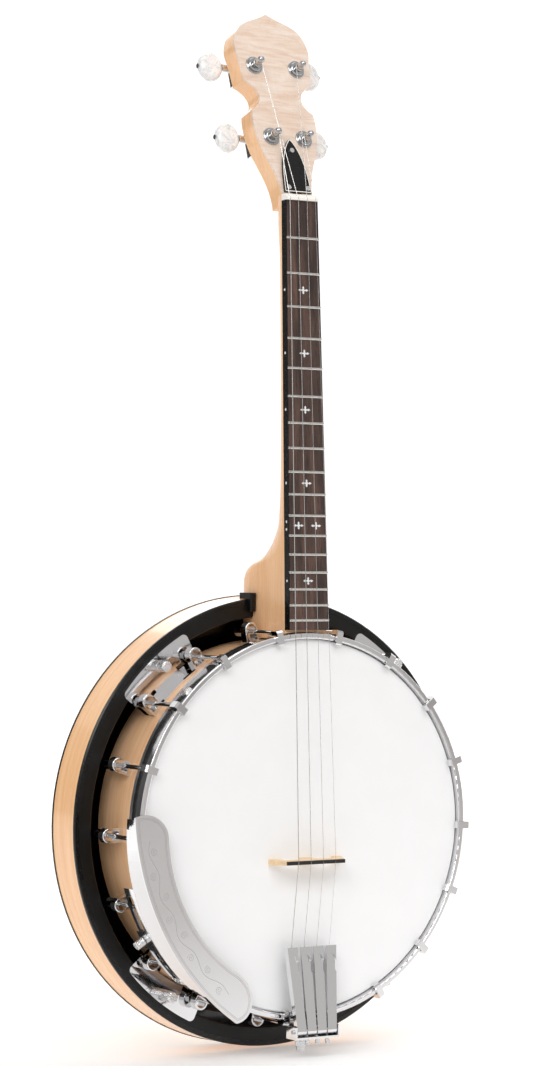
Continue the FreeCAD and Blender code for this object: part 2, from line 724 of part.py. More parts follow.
NUT_TOP = -1.9
NUT_SPREAD = (-11.4, -3.9, 3.9, 11.4)
STRING_RADII = (0.36, 0.27, 0.2, 0.16)
STRING_REST = -1.4
BREAK_SLOPE = 0.27


def nut_slot(index):
    """A string's slot: level at the playing edge, then falling towards the peghead."""
    radius = STRING_RADII[index]
    floor = STRING_REST + radius + 0.03
    x = NUT_SPREAD[index] - radius - 0.15
    outline = [(x, -4, -1), (x, floor, -1), (x, floor, 0.4), (x, floor + 6 * BREAK_SLOPE, 6.4), (x, -4, 6.4)]
    return prism(outline, (2 * radius + 0.3, 0, 0))


nut_profile = [(0.02, 5.98), (0.02, NUT_TOP), (1.9, NUT_TOP), (4.9, 0.9), (4.9, 5.98)]
nut_corners = [(-dim("nut_half_width"), depth, up) for up, depth in nut_profile]
nut_bar = prism(nut_corners, (2 * dim("nut_half_width"), 0, 0))
for index in range(4):
    nut_bar = nut_bar.cut(nut_slot(index))
keep("nut", shaped("nut", nut_bar, NECK))

# ---------------------------------------------------------------- truss rod and its cover

truss_bar = rod(V(0, TRUSS_DEPTH, -310), V(0, TRUSS_DEPTH, 7), TRUSS_RADIUS)
truss_nut = []
for index in range(6):
    turn = math.radians(60 * index)
    truss_nut.append((3.6 * math.cos(turn), TRUSS_DEPTH + 3.6 * math.sin(turn), 3.5))
truss_hex = prism(truss_nut, (0, 0, 8.5))
truss_hex = truss_hex.cut(rod(V(0, TRUSS_DEPTH, 3), V(0, TRUSS_DEPTH, 13), TRUSS_RADIUS + 0.05))
keep("truss_rod", group("truss_rod", [truss_bar, truss_hex], NECK))

COVER_THICKNESS = 2.4
COVER_SIDE = ((12.0, 3.4), (11.4, 11.0), (10.6, 20.0), (9.0, 29.0), (6.3, 37.5), (3.2, 43.5),
              (0.0, 47.5))


def cover_plate():
    """A bell-shaped plate with a point towards the tip of the peghead."""
    curve = smooth(COVER_SIDE)
    x, up = COVER_SIDE[0]
    edges = [curve, curve.mirror(ORIGIN, AXIS_X)]
    edges.append(Part.LineSegment(V(-x, 0, up), V(x, 0, up)).toShape())
    face = Part.Face(Part.Wire(Part.__sortEdges__(edges)))
    return face.extrude(V(0, -COVER_THICKNESS, 0))


cover = cover_plate()
cover.translate(V(0, -0.02, 0))
cover = cover.cut(Part.makeCompound([rod(V(x, -4, up), V(x, 1, up), 1.3) for x, up in COVER_SCREWS]))
keep("truss_rod_cover", peghead_shape("truss_rod_cover", cover))

# ---------------------------------------------------------------- tuners

HOUSING_BACK = 26.5
HOUSING_HALF = 7.6
PLATE_BACK = TUNER_FRONT + 1.4
GEAR_FRONT = 19.7
GEAR_BACK = 24.7
COLLAR_RADIUS = 3.25
SHAFT_RADIUS = 1.9


def housing(x, up):
    """A closed case behind the peghead, with room for the wheel and a tunnel for the worm."""
    gap = dim("running_gap")
    case = box((x - HOUSING_HALF, TUNER_FRONT, up - 9.0), (x + HOUSING_HALF, HOUSING_BACK, up + 11.5))
    tall = [edge for edge in case.Edges
            if edge.Length < 12 or edge.BoundBox.YMin > HOUSING_BACK - 0.01]
    case = case.makeFillet(1.6, tall)
    plate = box((x - 4.5, TUNER_FRONT, up - 15.0), (x + 4.5, PLATE_BACK, up))
    case = case.fuse(plate)
    wheel_room = rod(V(x, GEAR_FRONT - 0.4, up), V(x, GEAR_BACK + 0.4, up), dim("gear_radius") + 0.4)
    post_bore = rod(V(x, TUNER_FRONT - 1, up), V(x, GEAR_FRONT, up), dim("post_radius") + gap)
    axis_up = up + dim("worm_offset")
    worm_room = rod(V(x - 6.0, dim("worm_depth"), axis_up), V(x + 6.0, dim("worm_depth"), axis_up),
                    dim("worm_radius") + 0.3)
    side = math.copysign(1, x)
    neck_bore = rod(V(x, dim("worm_depth"), axis_up),
                    V(x + side * 9, dim("worm_depth"), axis_up), SHAFT_RADIUS + gap)
    screw_bore = rod(V(x, 15, up - TUNER_SCREW_DROP), V(x, 21, up - TUNER_SCREW_DROP), 1.3)
    for tool in (wheel_room, post_bore, worm_room, neck_bore, screw_bore):
        case = case.cut(tool)
    return case


def bushing(x, up):
    """The washer and the flanged bushing that line a post's hole on the peghead's face."""
    washer = rod(V(x, -1.0, up), V(x, -0.02, up), 7.2)
    washer = washer.cut(rod(V(x, -3, up), V(x, 1, up), dim("bushing_radius") + 0.05))
    edge = [item for item in washer.Edges if item.BoundBox.YMax < -0.99 and item.Length > 40]
    washer = washer.makeFillet(0.6, edge)
    collar = rod(V(x, -2.8, up), V(x, -1.02, up), 5.6)
    tube = rod(V(x, -2.8, up), V(x, 16.4, up), dim("bushing_radius"))
    sleeve = collar.fuse(tube)
    crest = [item for item in sleeve.Edges if item.BoundBox.YMax < -2.79 and item.Length > 30]
    sleeve = sleeve.makeFillet(0.9, crest)
    bore = rod(V(x, -5, up), V(x, 18, up), dim("post_radius") + dim("running_gap"))
    return [washer, sleeve.cut(bore)]


def wheel(x, up):
    """The worm wheel on the foot of a post."""
    teeth = int(dim("gear_teeth"))
    corners = []
    for index in range(4 * teeth):
        radius = dim("gear_radius") if index % 4 < 2 else dim("gear_radius") - 0.8
        turn = 2 * math.pi * (index + 0.5 * (index % 2)) / (4 * teeth)
        corners.append((x + radius * math.cos(turn), GEAR_FRONT, up + radius * math.sin(turn)))
    block = prism(corners, (0, GEAR_BACK - GEAR_FRONT, 0))
    return block.cut(rod(V(x, GEAR_FRONT - 1, up), V(x, GEAR_BACK + 1, up), 2.02))


def post(x, up):
    """A string post: a thick journal, a slimmer winding neck and a ball on top."""
    journal = rod(V(x, -3.9, up), V(x, GEAR_FRONT - 0.02, up), dim("post_radius"))
    spigot = rod(V(x, GEAR_FRONT - 1, up), V(x, GEAR_BACK, up), 2.0)
    winding = rod(V(x, -9.6, up), V(x, -3.5, up), dim("post_neck"))
    ball = Part.makeSphere(2.8, V(x, -10.6, up))
    whole = journal.fuse([spigot, winding, ball])
    return whole.cut(rod(V(x - 4, -6.6, up), V(x + 4, -6.6, up), 0.6))


def worm(x, up):
    """A ringed worm, its shaft, the collar outside the case and the screw that holds the button."""
    side = math.copysign(1, x)
    depth, axis_up = dim("worm_depth"), up + dim("worm_offset")

    def along(start, end, radius):
        return rod(V(x + side * start, depth, axis_up), V(x + side * end, depth, axis_up), radius)

    pieces = [along(-5.4, 5.4, dim("worm_radius") - 0.6), along(-5.4, -4.4, dim("worm_radius"))]
    pieces += [along(place, place + 0.6, dim("worm_radius")) for place in (-2.9, -0.9, 1.1, 3.1)]
    pieces.append(along(4.9, HOUSING_HALF + 0.6, SHAFT_RADIUS))
    collar_end = dim("button_start") - 0.05
    pieces.append(along(HOUSING_HALF + 0.4, collar_end, COLLAR_RADIUS))
    outer = collar_end + 2 * dim("button_half_width")
    pieces.append(along(collar_end - 0.5, outer + 0.2, 1.6))
    pieces.append(along(outer + 0.05, outer + 0.9, 1.9))
    whole = pieces[0]
    for piece in pieces[1:]:
        whole = whole.fuse(piece)
    return whole.removeSplitter()


def button_body(node, x, up):
    """A pearl button: a thick oval with rounded edges, bored for its shaft."""
    side = math.copysign(1, x)
    start = abs(x) + dim("button_start")
    middle = V(side * (start + dim("button_half_width")), dim("worm_depth"), up + dim("worm_offset"))
    body = new_body(node, PEGHEAD.multiply(Placement(middle, Rotation())))
    sketch = sketch_on(body, "XZ_Plane")
    oval = Part.Ellipse(ORIGIN, dim("button_half_height"), dim("button_half_width"))
    oval.AngleXU = math.pi / 2
    sketch.addGeometry(oval, False)
    blank_pad = pad(body, sketch, "button_thickness", symmetric=True)
    rounded(body, blank_pad, "button_edge", lambda edge: True)
    bore = sketch_on(body, "YZ_Plane")
    circle(bore, "0", "0", "1.62")
    pocket(body, bore, "2 * button_half_width + 4", symmetric=True)
    return body


keep("tuner_housings", group("tuner_housings", [housing(x, up) for x, up in POSTS], PEGHEAD))
bushings = []
for x, up in POSTS:
    bushings += bushing(x, up)
keep("tuner_bushings", group("tuner_bushings", bushings, PEGHEAD))

for index, (x, up) in enumerate(POSTS, 1):
    keep("string_post_%d" % index, group("string_post_%d" % index, [post(x, up), wheel(x, up)], PEGHEAD))
    keep("worm_shaft_%d" % index, peghead_shape("worm_shaft_%d" % index, worm(x, up)))
    keep("tuner_button_%d" % index, button_body("tuner_button_%d" % index, x, up))


def wood_screw(x, up, surface, inward):
    """A small round-headed screw; inward is +1 from the face and -1 from the back."""
    head = rod(V(x, surface - inward * 1.0, up), V(x, surface, up), 1.9)
    shank = rod(V(x, surface - inward * 0.5, up), V(x, surface + inward * 7.5, up), WOOD_SCREW - 0.02)
    return head.fuse(shank)


screws = [wood_screw(x, up - TUNER_SCREW_DROP, PLATE_BACK + 0.02, -1) for x, up in POSTS]
screws += [wood_screw(x, up, -COVER_THICKNESS - 0.04, 1) for x, up in COVER_SCREWS]
keep("peghead_screws", group("peghead_screws", screws, PEGHEAD))

# ---------------------------------------------------------------- bridge and strings


BRIDGE_SPREAD = (-15.8, -4.7, 6.4, 17.4)
CREST = 17.1


def bridge_blank():
    """Front view of the maple part: three feet, two arches and a straight top."""
    half, top = dim("bridge_half_base"), dim("bridge_height") - dim("bridge_cap")
    foot, arch, centre_foot, shoulder = 7.0, 8.2, 4.5, dim("bridge_half_top")
    points = [(-half, 0), (-half + foot, 0), (-half + foot + 3, -arch), (-centre_foot - 3, -arch),
              (-centre_foot, 0), (centre_foot, 0), (centre_foot + 3, -arch),
              (half - foot - 3, -arch), (half - foot, 0), (half, 0), (half, -3.0),
              (shoulder, -top), (-shoulder, -top), (-half, -3.0)]
    outline = [(x, depth, -6.0) for x, depth in points]
    wedge_half = (dim("bridge_base_thickness") / 2, dim("bridge_top_thickness") / 2)
    slope = (wedge_half[0] - wedge_half[1]) / dim("bridge_height")
    top_half = wedge_half[1] + slope * dim("bridge_cap")
    wedge = prism([(-half - 2, -0.02, -wedge_half[0]), (-half - 2, -0.02, wedge_half[0]),
                   (-half - 2, -top, top_half), (-half - 2, -top, -top_half)], (2 * half + 4, 0, 0))
    return prism(outline, (0, 0, 12.0)).common(wedge)


def bridge_cap():
    """The dark wood strip that carries the strings in shallow slots."""
    top, base = dim("bridge_height"), dim("bridge_height") - dim("bridge_cap") + 0.01
    slope = (dim("bridge_base_thickness") - dim("bridge_top_thickness")) / 2 / top
    crest = dim("bridge_top_thickness") / 2
    low = crest + slope * (top - base)
    half = dim("bridge_half_top")
    strip = prism([(-half, -base, -low), (-half, -base, low), (-half, -top, crest),
                   (-half, -top, -crest)], (2 * half, 0, 0))
    for x, radius in zip(BRIDGE_SPREAD, STRING_RADII):
        side, floor, reach = x - radius - 0.1, -CREST + radius + 0.03, 4.0
        slot = prism([(side, -top - 1, -reach), (side, -top - 1, reach), (side, floor + 0.08 * reach, reach),
                      (side, floor, 0), (side, floor + 0.25 * reach, -reach)], (2 * radius + 0.2, 0, 0))
        strip = strip.cut(slot)
    return strip


BRIDGE = Placement(V(0, 0, dim("bridge_up")), Rotation())
keep("bridge", shaped("bridge", bridge_blank(), BRIDGE))
keep("bridge_cap", shaped("bridge_cap", bridge_cap(), BRIDGE))

WINDING_DEPTH = -6.0


def bend(points, radius):
    """A thin round wire through points, with a ball at each turn."""
    wire = rod(points[0], points[1], radius)
    for index in range(1, len(points) - 1):
        wire = wire.fuse(Part.makeSphere(radius, points[index]))
        wire = wire.fuse(rod(points[index], points[index + 1], radius))
    return wire


def nut_point(index):
    return NECK.multVec(V(NUT_SPREAD[index], STRING_REST, 0.4))


def bridge_point(index):
    return V(BRIDGE_SPREAD[index], -CREST, dim("bridge_up"))


def post_point(index):
    x, up = POSTS[index]
    reach = dim("post_neck") + STRING_RADII[index] + 0.3
    return PEGHEAD.multVec(V(x - math.copysign(reach, x), WINDING_DEPTH, up))


CREST_GAP = 0.5
strings = []
for index in range(4):
    crest, nut_rest = bridge_point(index), nut_point(index)
    near_crest = crest + (nut_rest - crest).normalize() * CREST_GAP
    strings.append(bend([post_point(index), nut_rest, near_crest], STRING_RADII[index]))
keep("strings", group("strings", strings))

# ---------------------------------------------------------------- tailpiece

FINGER_REAR = (-13.35, -4.45, 4.45, 13.35)
FINGER_FRONT = (-17.35, -5.75, 5.75, 17.35)
REAR_HALF, FRONT_HALF = 4.0, 4.4
KNUCKLE = dim("finger_face")
WALL = 1.1
HOOK_BACK = 6.5


def finger(index):
    """A splayed channel on a knuckle, with a string notch, a hook inside and a screw tab."""
    rear, front, length = FINGER_REAR[index], FINGER_FRONT[index], dim("finger_length")
    face, plate = -dim("finger_face"), dim("finger_plate")

    def across(up, share):
        """X at a height up the finger; share runs from -1 at the left edge to 1 at the right."""
        part = up / length
        middle = rear + (front - rear) * part
        return middle + share * (REAR_HALF + (FRONT_HALF - REAR_HALF) * part)

    top = prism([(across(0, -1), face, 0), (across(0, 1), face, 0),
                 (across(length, 1), face, length), (across(length, -1), face, length)], (0, plate, 0))
    whole = top
    for share in (-1, 1):
        inward = -share * WALL
        low, high = 3.5, length
        outer_low, outer_high = across(low, share), across(high, share)
        base = prism([(outer_low, face, low), (outer_low + inward, face, low),
                      (outer_high + inward, face, high), (outer_high, face, high)], (0, 5.2, 0))
        slope = prism([(-40, face + 4.2, 0), (-40, face + 6, 0), (-40, face + 6, length + 1),
                       (-40, face + 5.2, length + 1)], (80, 0, 0))
        whole = whole.fuse(base.cut(slope))
    knuckle = rod(V(rear - REAR_HALF, 0, 0), V(rear + REAR_HALF, 0, 0), KNUCKLE)
    tab = box((rear - 2.8, 0, -1.2), (rear + 2.8, 7.0, 1.2))
    hook_post = box((across(length - HOOK_BACK, 0) - 1.2, face + 0.5, length - HOOK_BACK - 1.0),
                    (across(length - HOOK_BACK, 0) + 1.2, 2.2, length - HOOK_BACK))
    whole = whole.fuse([knuckle, tab, hook_post])
    notch_top = length - 6.3
    notch = prism([(across(notch_top, 0.15), face - 1, notch_top),
                   (across(notch_top, 0.4), face - 1, notch_top),
                   (across(notch_top - 7, 1.3), face - 1, notch_top - 7),
                   (across(notch_top - 14, 1.3), face - 1, notch_top - 14),
                   (across(notch_top - 13, 0.85), face - 1, notch_top - 13)], (0, 1.5 + plate, 0))
    pin_bore = rod(V(rear - 6, 0, 0), V(rear + 6, 0, 0), dim("finger_pin") + dim("running_gap"))
    screw_bore = rod(V(rear, 4.9, -3), V(rear, 4.9, 3), 1.5)
    return whole.cut(Part.makeCompound([notch])).cut(pin_bore).cut(screw_bore).removeSplitter()


for index in range(4):
    node = "tailpiece_finger_%d" % (index + 1)
    keep(node, shaped(node, finger(index), TAIL))


def tail_point(index):
    """Where a string ends, just in front of the hook inside its finger."""
    up = dim("finger_length") - HOOK_BACK + 0.5
    part = up / dim("finger_length")
    x = FINGER_REAR[index] + (FINGER_FRONT[index] - FINGER_REAR[index]) * part
    return TAIL.multVec(V(x, 0.8, up))


for index in range(4):
    node = "string_tail_%d" % (index + 1)
    crest, anchor = bridge_point(index), tail_point(index)
    tail = rod(crest, anchor, STRING_RADII[index])
    bead = V(0.7 * STRING_RADII[index], 0, 0)
    keep(node, shaped(node, tail.fuse(rod(crest - bead, crest + bead, bead.x))))

EAR_IN, EAR_OUT = 18.0, 19.5
CRADLE_BACK = -8.0
CRADLE_LOW = -157.0
SHEET = 1.6
STRAP_OUT = -150.2
STRAP_HALF = 7.0
TILT_SCREW_DEPTH = 1.6
FOOT_IN = -dim("rim_radius") + 0.5
CRADLE_FRONT = dim("pin_depth") - 3.5


def tailpiece_bracket():
    """A bent strap from the rim, over the hoop, to a cradle with two ears for the pin."""
    strap = [(38.0, FOOT_IN), (38.0, -FOOT_OUT), (22.2, -FOOT_OUT), (17.9, STRAP_OUT),
             (CRADLE_BACK, STRAP_OUT), (CRADLE_BACK, STRAP_OUT + SHEET), (16.5, STRAP_OUT + SHEET),
             (20.6, FOOT_IN)]
    whole = prism([(-STRAP_HALF, depth, up) for depth, up in strap], (2 * STRAP_HALF, 0, 0))
    cradle = [(CRADLE_BACK, STRAP_OUT + SHEET), (CRADLE_BACK, CRADLE_LOW), (CRADLE_FRONT, CRADLE_LOW),
              (CRADLE_FRONT, CRADLE_LOW + SHEET), (CRADLE_BACK - SHEET, CRADLE_LOW + SHEET),
              (CRADLE_BACK - SHEET, STRAP_OUT + SHEET)]
    whole = whole.fuse(prism([(-EAR_OUT, depth, up) for depth, up in cradle], (2 * EAR_OUT, 0, 0)))
    for sign in (-1, 1):
        low = min(sign * EAR_IN, sign * EAR_OUT)
        ear = box((low, CRADLE_FRONT, CRADLE_LOW), (low + EAR_OUT - EAR_IN, CRADLE_BACK, -147.6))
        whole = whole.fuse(ear)
    whole = whole.removeSplitter()
    holes = [rod(V(0, dim("rod_front"), -150), V(0, dim("rod_front"), -130), dim("lag_radius") + 0.1),
             rod(V(0, TILT_SCREW_DEPTH, -160), V(0, TILT_SCREW_DEPTH, -140), 2.05),
             rod(V(-30, dim("pin_depth"), dim("pin_height")), V(30, dim("pin_depth"), dim("pin_height")),
                 dim("finger_pin") + 0.02)]
    for hole in holes:
        whole = whole.cut(hole)
    for rear in FINGER_REAR:
        start, end = TAIL.multVec(V(rear, 4.9, -2)), TAIL.multVec(V(rear, 4.9, -12))
        whole = whole.cut(rod(start, end, 1.3))
    rim_skin = Part.makeCylinder(dim("rim_radius") + 0.03, 60, V(0, 10, 0), AXIS_Y)
    return whole.cut(rim_skin)


keep("tailpiece_bracket", shaped("tailpiece_bracket", tailpiece_bracket()))

tail_pin = rod(V(-EAR_OUT - 1.2, dim("pin_depth"), dim("pin_height")),
               V(EAR_OUT + 1.2, dim("pin_depth"), dim("pin_height")), dim("finger_pin"))
keep("tailpiece_pin", shaped("tailpiece_pin", tail_pin))


def finger_screw(rear):
    """A screw that draws a finger's tab down from under the cradle."""
    shank = rod(V(rear, 4.9, 3.2), V(rear, 4.9, -9.5), 1.1)
    head = rod(V(rear, 4.9, -6.8), V(rear, 4.9, -10.2), 1.8)
    return shank.fuse(head)


tail_screws = []
for rear in FINGER_REAR:
    screw = finger_screw(rear)
    screw.Placement = TAIL
    tail_screws.append(screw)
tilt_shank = rod(V(0, TILT_SCREW_DEPTH, -145.2), V(0, TILT_SCREW_DEPTH, -160), 2.0)
tilt_barrel = rod(V(0, TILT_SCREW_DEPTH, -155.5), V(0, TILT_SCREW_DEPTH, -169.2), 3.8)
barrel_rims = [edge for edge in tilt_barrel.Edges if edge.Length > 20 and len(edge.Vertexes) == 1]
tilt_barrel = tilt_barrel.makeFillet(0.8, barrel_rims)
tail_screws.append(tilt_shank.fuse(tilt_barrel))
keep("tailpiece_screws", group("tailpiece_screws", tail_screws))

hanger = rod(V(0, dim("rod_front"), -ROD_REACH + LAG_OVERLAP), V(0, dim("rod_front"), -148.4),
             dim("lag_radius"))
keep("tailpiece_bolt", group("tailpiece_bolt", [
    hanger, hex_nut(dim("rod_front"), -FOOT_OUT - 5.6, -FOOT_OUT - 0.02, 5.8)]))

# ---------------------------------------------------------------- armrest

ARMREST_CENTRE = (53.3, 27.1)
ARMREST_RADIUS = 207.2
ARMREST_START, ARMREST_END = -85.5, -155.5
SKIRT_RADIUS = 151.4
SKIRT_DEPTH = 4.0
APRON_DEPTH = 18.0
APRON_MIDDLE, APRON_SPAN = -122.4, 33.0
CLAMP_ANGLE = -122.3
HOOK_SLOTS = ((-113.4, 10.6), (-131.4, 9.6))
CLAMP_DEPTH = 18.5


def armrest_edge(angle):
    """Distance from the drum's axis to the armrest's flatter outer arc, at an angle."""
    turn = math.radians(angle)
    along = V(math.sin(turn), 0, math.cos(turn))
    centre = V(ARMREST_CENTRE[0], 0, ARMREST_CENTRE[1])
    reach = along.dot(centre)
    aside = centre.dot(centre) - reach ** 2
    return reach + math.sqrt(ARMREST_RADIUS ** 2 - aside)


def armrest_front():
    """The smooth plate that the arm lies on."""
    depth = dim("armrest_front")

    def at(angle, radius):
        return polar(angle, radius, depth)

    outer = [at(ARMREST_START, armrest_edge(ARMREST_START) - 0.4),
             at(-120, armrest_edge(-120)), at(ARMREST_END, armrest_edge(ARMREST_END) - 0.4)]
    inner = [at(-92.5, 124.6), at(-119, 123.7), at(-146.5, 123.8)]
    top = [outer[0], at(-84.6, 140.0), at(-86.6, 130.0), inner[0]]
    foot = [inner[-1], at(-153.0, 125.8), at(-157.2, 133.5), at(-158.4, 144.0), outer[-1]]
    edges = [Part.Arc(*outer).toShape(), Part.Arc(*inner).toShape()]
    for points in (top, foot):
        curve = Part.BSplineCurve()
        curve.interpolate(points)
        edges.append(curve.toShape())
    face = Part.Face(Part.Wire(Part.__sortEdges__(edges)))
    return face.extrude(V(0, dim("armrest_plate"), 0))


def armrest_skirt(sheet_width=1.2, outside=0.0):
    """The rolled edge that runs back from under the plate, outside the hooks."""
    front = dim("armrest_front") + dim("armrest_plate") / 2
    wires = []
    steps = 24
    for step in range(steps + 1):
        angle = ARMREST_START - 0.6 + (ARMREST_END - ARMREST_START + 1.2) * step / steps
        edge = armrest_edge(angle) - 0.4
        corners = [polar(angle, edge - sheet_width, front), polar(angle, edge + outside, front),
                   polar(angle, SKIRT_RADIUS + outside, SKIRT_DEPTH),
                   polar(angle, SKIRT_RADIUS - sheet_width, SKIRT_DEPTH)]
        wires.append(Part.makePolygon(corners + corners[:1]))
    return Part.makeLoft(wires, True, True)


def armrest():
    """Plate, skirt, and an apron slotted for the two hooks that carry it."""
    inner, outer = SKIRT_RADIUS - 1.45, SKIRT_RADIUS - 0.2
    apron = sector(inner, outer, SKIRT_DEPTH - 0.8, APRON_DEPTH, APRON_MIDDLE, APRON_SPAN)
    tab = sector(inner, outer, APRON_DEPTH - 1, CLAMP_DEPTH + 4.0, CLAMP_ANGLE, 6.0)
    whole = armrest_front().fuse([armrest_skirt(), apron, tab])
    for middle, span in HOOK_SLOTS:
        whole = whole.cut(sector(inner - 2, SKIRT_RADIUS + 2, 8.5, 13.8, middle, span))
    return whole.cut(radial(CLAMP_ANGLE, CLAMP_DEPTH, 145, 160, 2.1))


def relieved_hook(angle):
    """A hook, ground back on its outside where the armrest's skirt passes close to it."""
    whole = around(hook, angle)
    if abs(angle - APRON_MIDDLE) > APRON_SPAN / 2:
        return whole
    return whole.cut(armrest_skirt(1.4, 5.0)).Solids[0]


keep("tension_hooks", group("tension_hooks", [relieved_hook(angle) for angle in HOOK_ANGLES]))
keep("armrest", shaped("armrest", armrest()))

clamp_plate = sector(142.0, 144.4, 14.4, 22.6, CLAMP_ANGLE, 27.0)
clamp_plate = clamp_plate.cut(radial(CLAMP_ANGLE, CLAMP_DEPTH, 140, 150, 2.05))
clamp_screw = radial(CLAMP_ANGLE, CLAMP_DEPTH, 140.5, 158, 2.0)
clamp_barrel = radial(CLAMP_ANGLE, CLAMP_DEPTH, SKIRT_RADIUS + 0.05, 159.0, 3.4)
barrel_rims = [edge for edge in clamp_barrel.Edges if edge.Length > 20 and len(edge.Vertexes) == 1]
clamp_barrel = clamp_barrel.makeFillet(0.7, barrel_rims)
keep("armrest_clamp", group("armrest_clamp", [clamp_plate, clamp_screw.fuse(clamp_barrel)]))

# ---------------------------------------------------------------- resonator


def heel_notch():
    """The opening in the resonator's edge that the heel passes through."""
    half = dim("notch_half_width")
    return box((-half, dim("band_front") - 6, 120), (half, dim("notch_back"), 190))


NOTCH = heel_notch()
THUMB_SPOTS = [polar(angle, dim("thumb_circle"), 0) for angle in BRACKET_ANGLES]


def notched(name, body, extra=()):
    return cut(name, body, group(name + "_tools", [NOTCH] + list(extra)))


wall = ring("wall_blank", [
    ("wall_inner", "band_front + purfling"), ("wall_front_radius", "band_front + purfling"),
    ("wall_back_radius", "back_front"), ("wall_inner", "back_front")])

END_BLOCK_LOW = (dim("notch_half_width"), 42.0, 160.0)
END_BLOCK_HIGH = (23.0, 58.0, 174.2)


def end_block(sign, play=0.0):
    """A dark block that ends the resonator's edge beside the heel."""
    x = sorted((sign * END_BLOCK_LOW[0], sign * END_BLOCK_HIGH[0]))
    low = (x[0] - play, END_BLOCK_LOW[1] - play, END_BLOCK_LOW[2] - play)
    high = (x[1] + play, END_BLOCK_HIGH[1] + play, END_BLOCK_HIGH[2] + play)
    return box(low, high)


block_rooms = [end_block(sign, 0.02) for sign in (-1, 1)]
keep("resonator_wall", notched("resonator_wall", wall, block_rooms))

LUG_DEPTH = 12.0


def lug_room(spot):
    start = V(spot.x, dim("band_front") - 1, spot.z)
    return Part.makeCylinder(dim("lug_radius") + 0.02, LUG_DEPTH + 1.1, start, AXIS_Y)


band = ring("band_blank", [
    ("band_inner", "band_front + 1"), ("band_inner + 1", "band_front"),
    ("wall_inner + 0.6", "band_front"), ("wall_inner + 0.6", "band_front + purfling - 0.02"),
    ("wall_inner - 0.02", "band_front + purfling - 0.02"), ("wall_inner - 0.02", "back_front"),
    ("band_inner", "back_front")])
band_cut = notched("band_cut", band, [lug_room(spot) for spot in THUMB_SPOTS])
end_blocks = []
for sign in (-1, 1):
    block = end_block(sign)
    outside = [edge for edge in block.Edges if edge.BoundBox.YMax < END_BLOCK_LOW[1] + 0.01]
    end_blocks.append(block.makeFillet(1.2, outside))
resonator_band = doc.addObject("Part::MultiFuse", "resonator_band")
resonator_band.Shapes = [band_cut] + [shaped("end_block", block) for block in end_blocks]
doc.recompute()
keep("resonator_band", resonator_band)


BACK_EDGE = 169.3


def purfling_rings():
    """Dark lines let into the front and back edges of the wall."""
    near, far = dim("wall_inner") + 0.62, dim("wall_front_radius")
    low, high = dim("band_front") - 0.3, dim("band_front") + dim("purfling") - 0.02
    front = Part.makePolygon([V(near, low, 0), V(far - 0.8, low, 0), V(far, low + 0.8, 0),
                              V(far, high, 0), V(near, high, 0), V(near, low, 0)])
    near, far = BACK_EDGE + 0.02, dim("wall_back_radius") + 0.5
    low = dim("back_front") + 0.02
    back = Part.makePolygon([V(near, low, 0), V(far, low, 0), V(far, 80.0, 0),
                             V(far - 1.0, 81.0, 0), V(near, 81.0, 0), V(near, low, 0)])
    rings = [Part.Face(profile).revolve(ORIGIN, AXIS_Y, 360) for profile in (front, back)]
    return [rings[0].cut(NOTCH).cut(Part.makeCompound(block_rooms)), rings[1]]


keep("resonator_binding", group("resonator_binding", purfling_rings()))


def back_plate():
    """The arched back: a flat rest in the middle, curved down to the wall."""
    rest, edge = dim("rest_radius"), BACK_EDGE
    depth, seat = dim("rest_depth"), dim("back_front") + 0.02
    thick = dim("back_plate")
    outer = Part.Arc(V(rest, depth, 0), V(120.0, 92.0, 0), V(edge, 81.0, 0)).toShape()
    inner = Part.Arc(V(150.0, seat, 0), V(110.0, 88.0, 0), V(rest, depth - thick, 0)).toShape()
    edges = [Part.LineSegment(V(0, depth - thick, 0), V(0, depth, 0)).toShape(),
             Part.LineSegment(V(0, depth, 0), V(rest, depth, 0)).toShape(), outer,
             Part.LineSegment(V(edge, 81.0, 0), V(edge, seat, 0)).toShape(),
             Part.LineSegment(V(edge, seat, 0), V(150.0, seat, 0)).toShape(), inner,
             Part.LineSegment(V(rest, depth - thick, 0), V(0, depth - thick, 0)).toShape()]
    return Part.Face(Part.Wire(edges)).revolve(ORIGIN, AXIS_Y, 360)


keep("resonator_back", shaped("resonator_back", back_plate()))

lugs = []
for spot in THUMB_SPOTS:
    start = V(spot.x, dim("band_front") + 0.02, spot.z)
    sleeve = Part.makeCylinder(dim("lug_radius"), LUG_DEPTH, start, AXIS_Y)
    lugs.append(sleeve.cut(Part.makeCylinder(dim("thumb_shank") + 0.1, 20, start - V(0, 4, 0), AXIS_Y)))
keep("resonator_lugs", group("resonator_lugs", lugs))

# ---------------------------------------------------------------- resonator brackets and screws

FLANGE_BACK = dim("band_front") - 0.02
FLANGE_FRONT = FLANGE_BACK - dim("bracket_plate")
PLATE_FRONT = 33.0
SLOT_TURN = 6.4


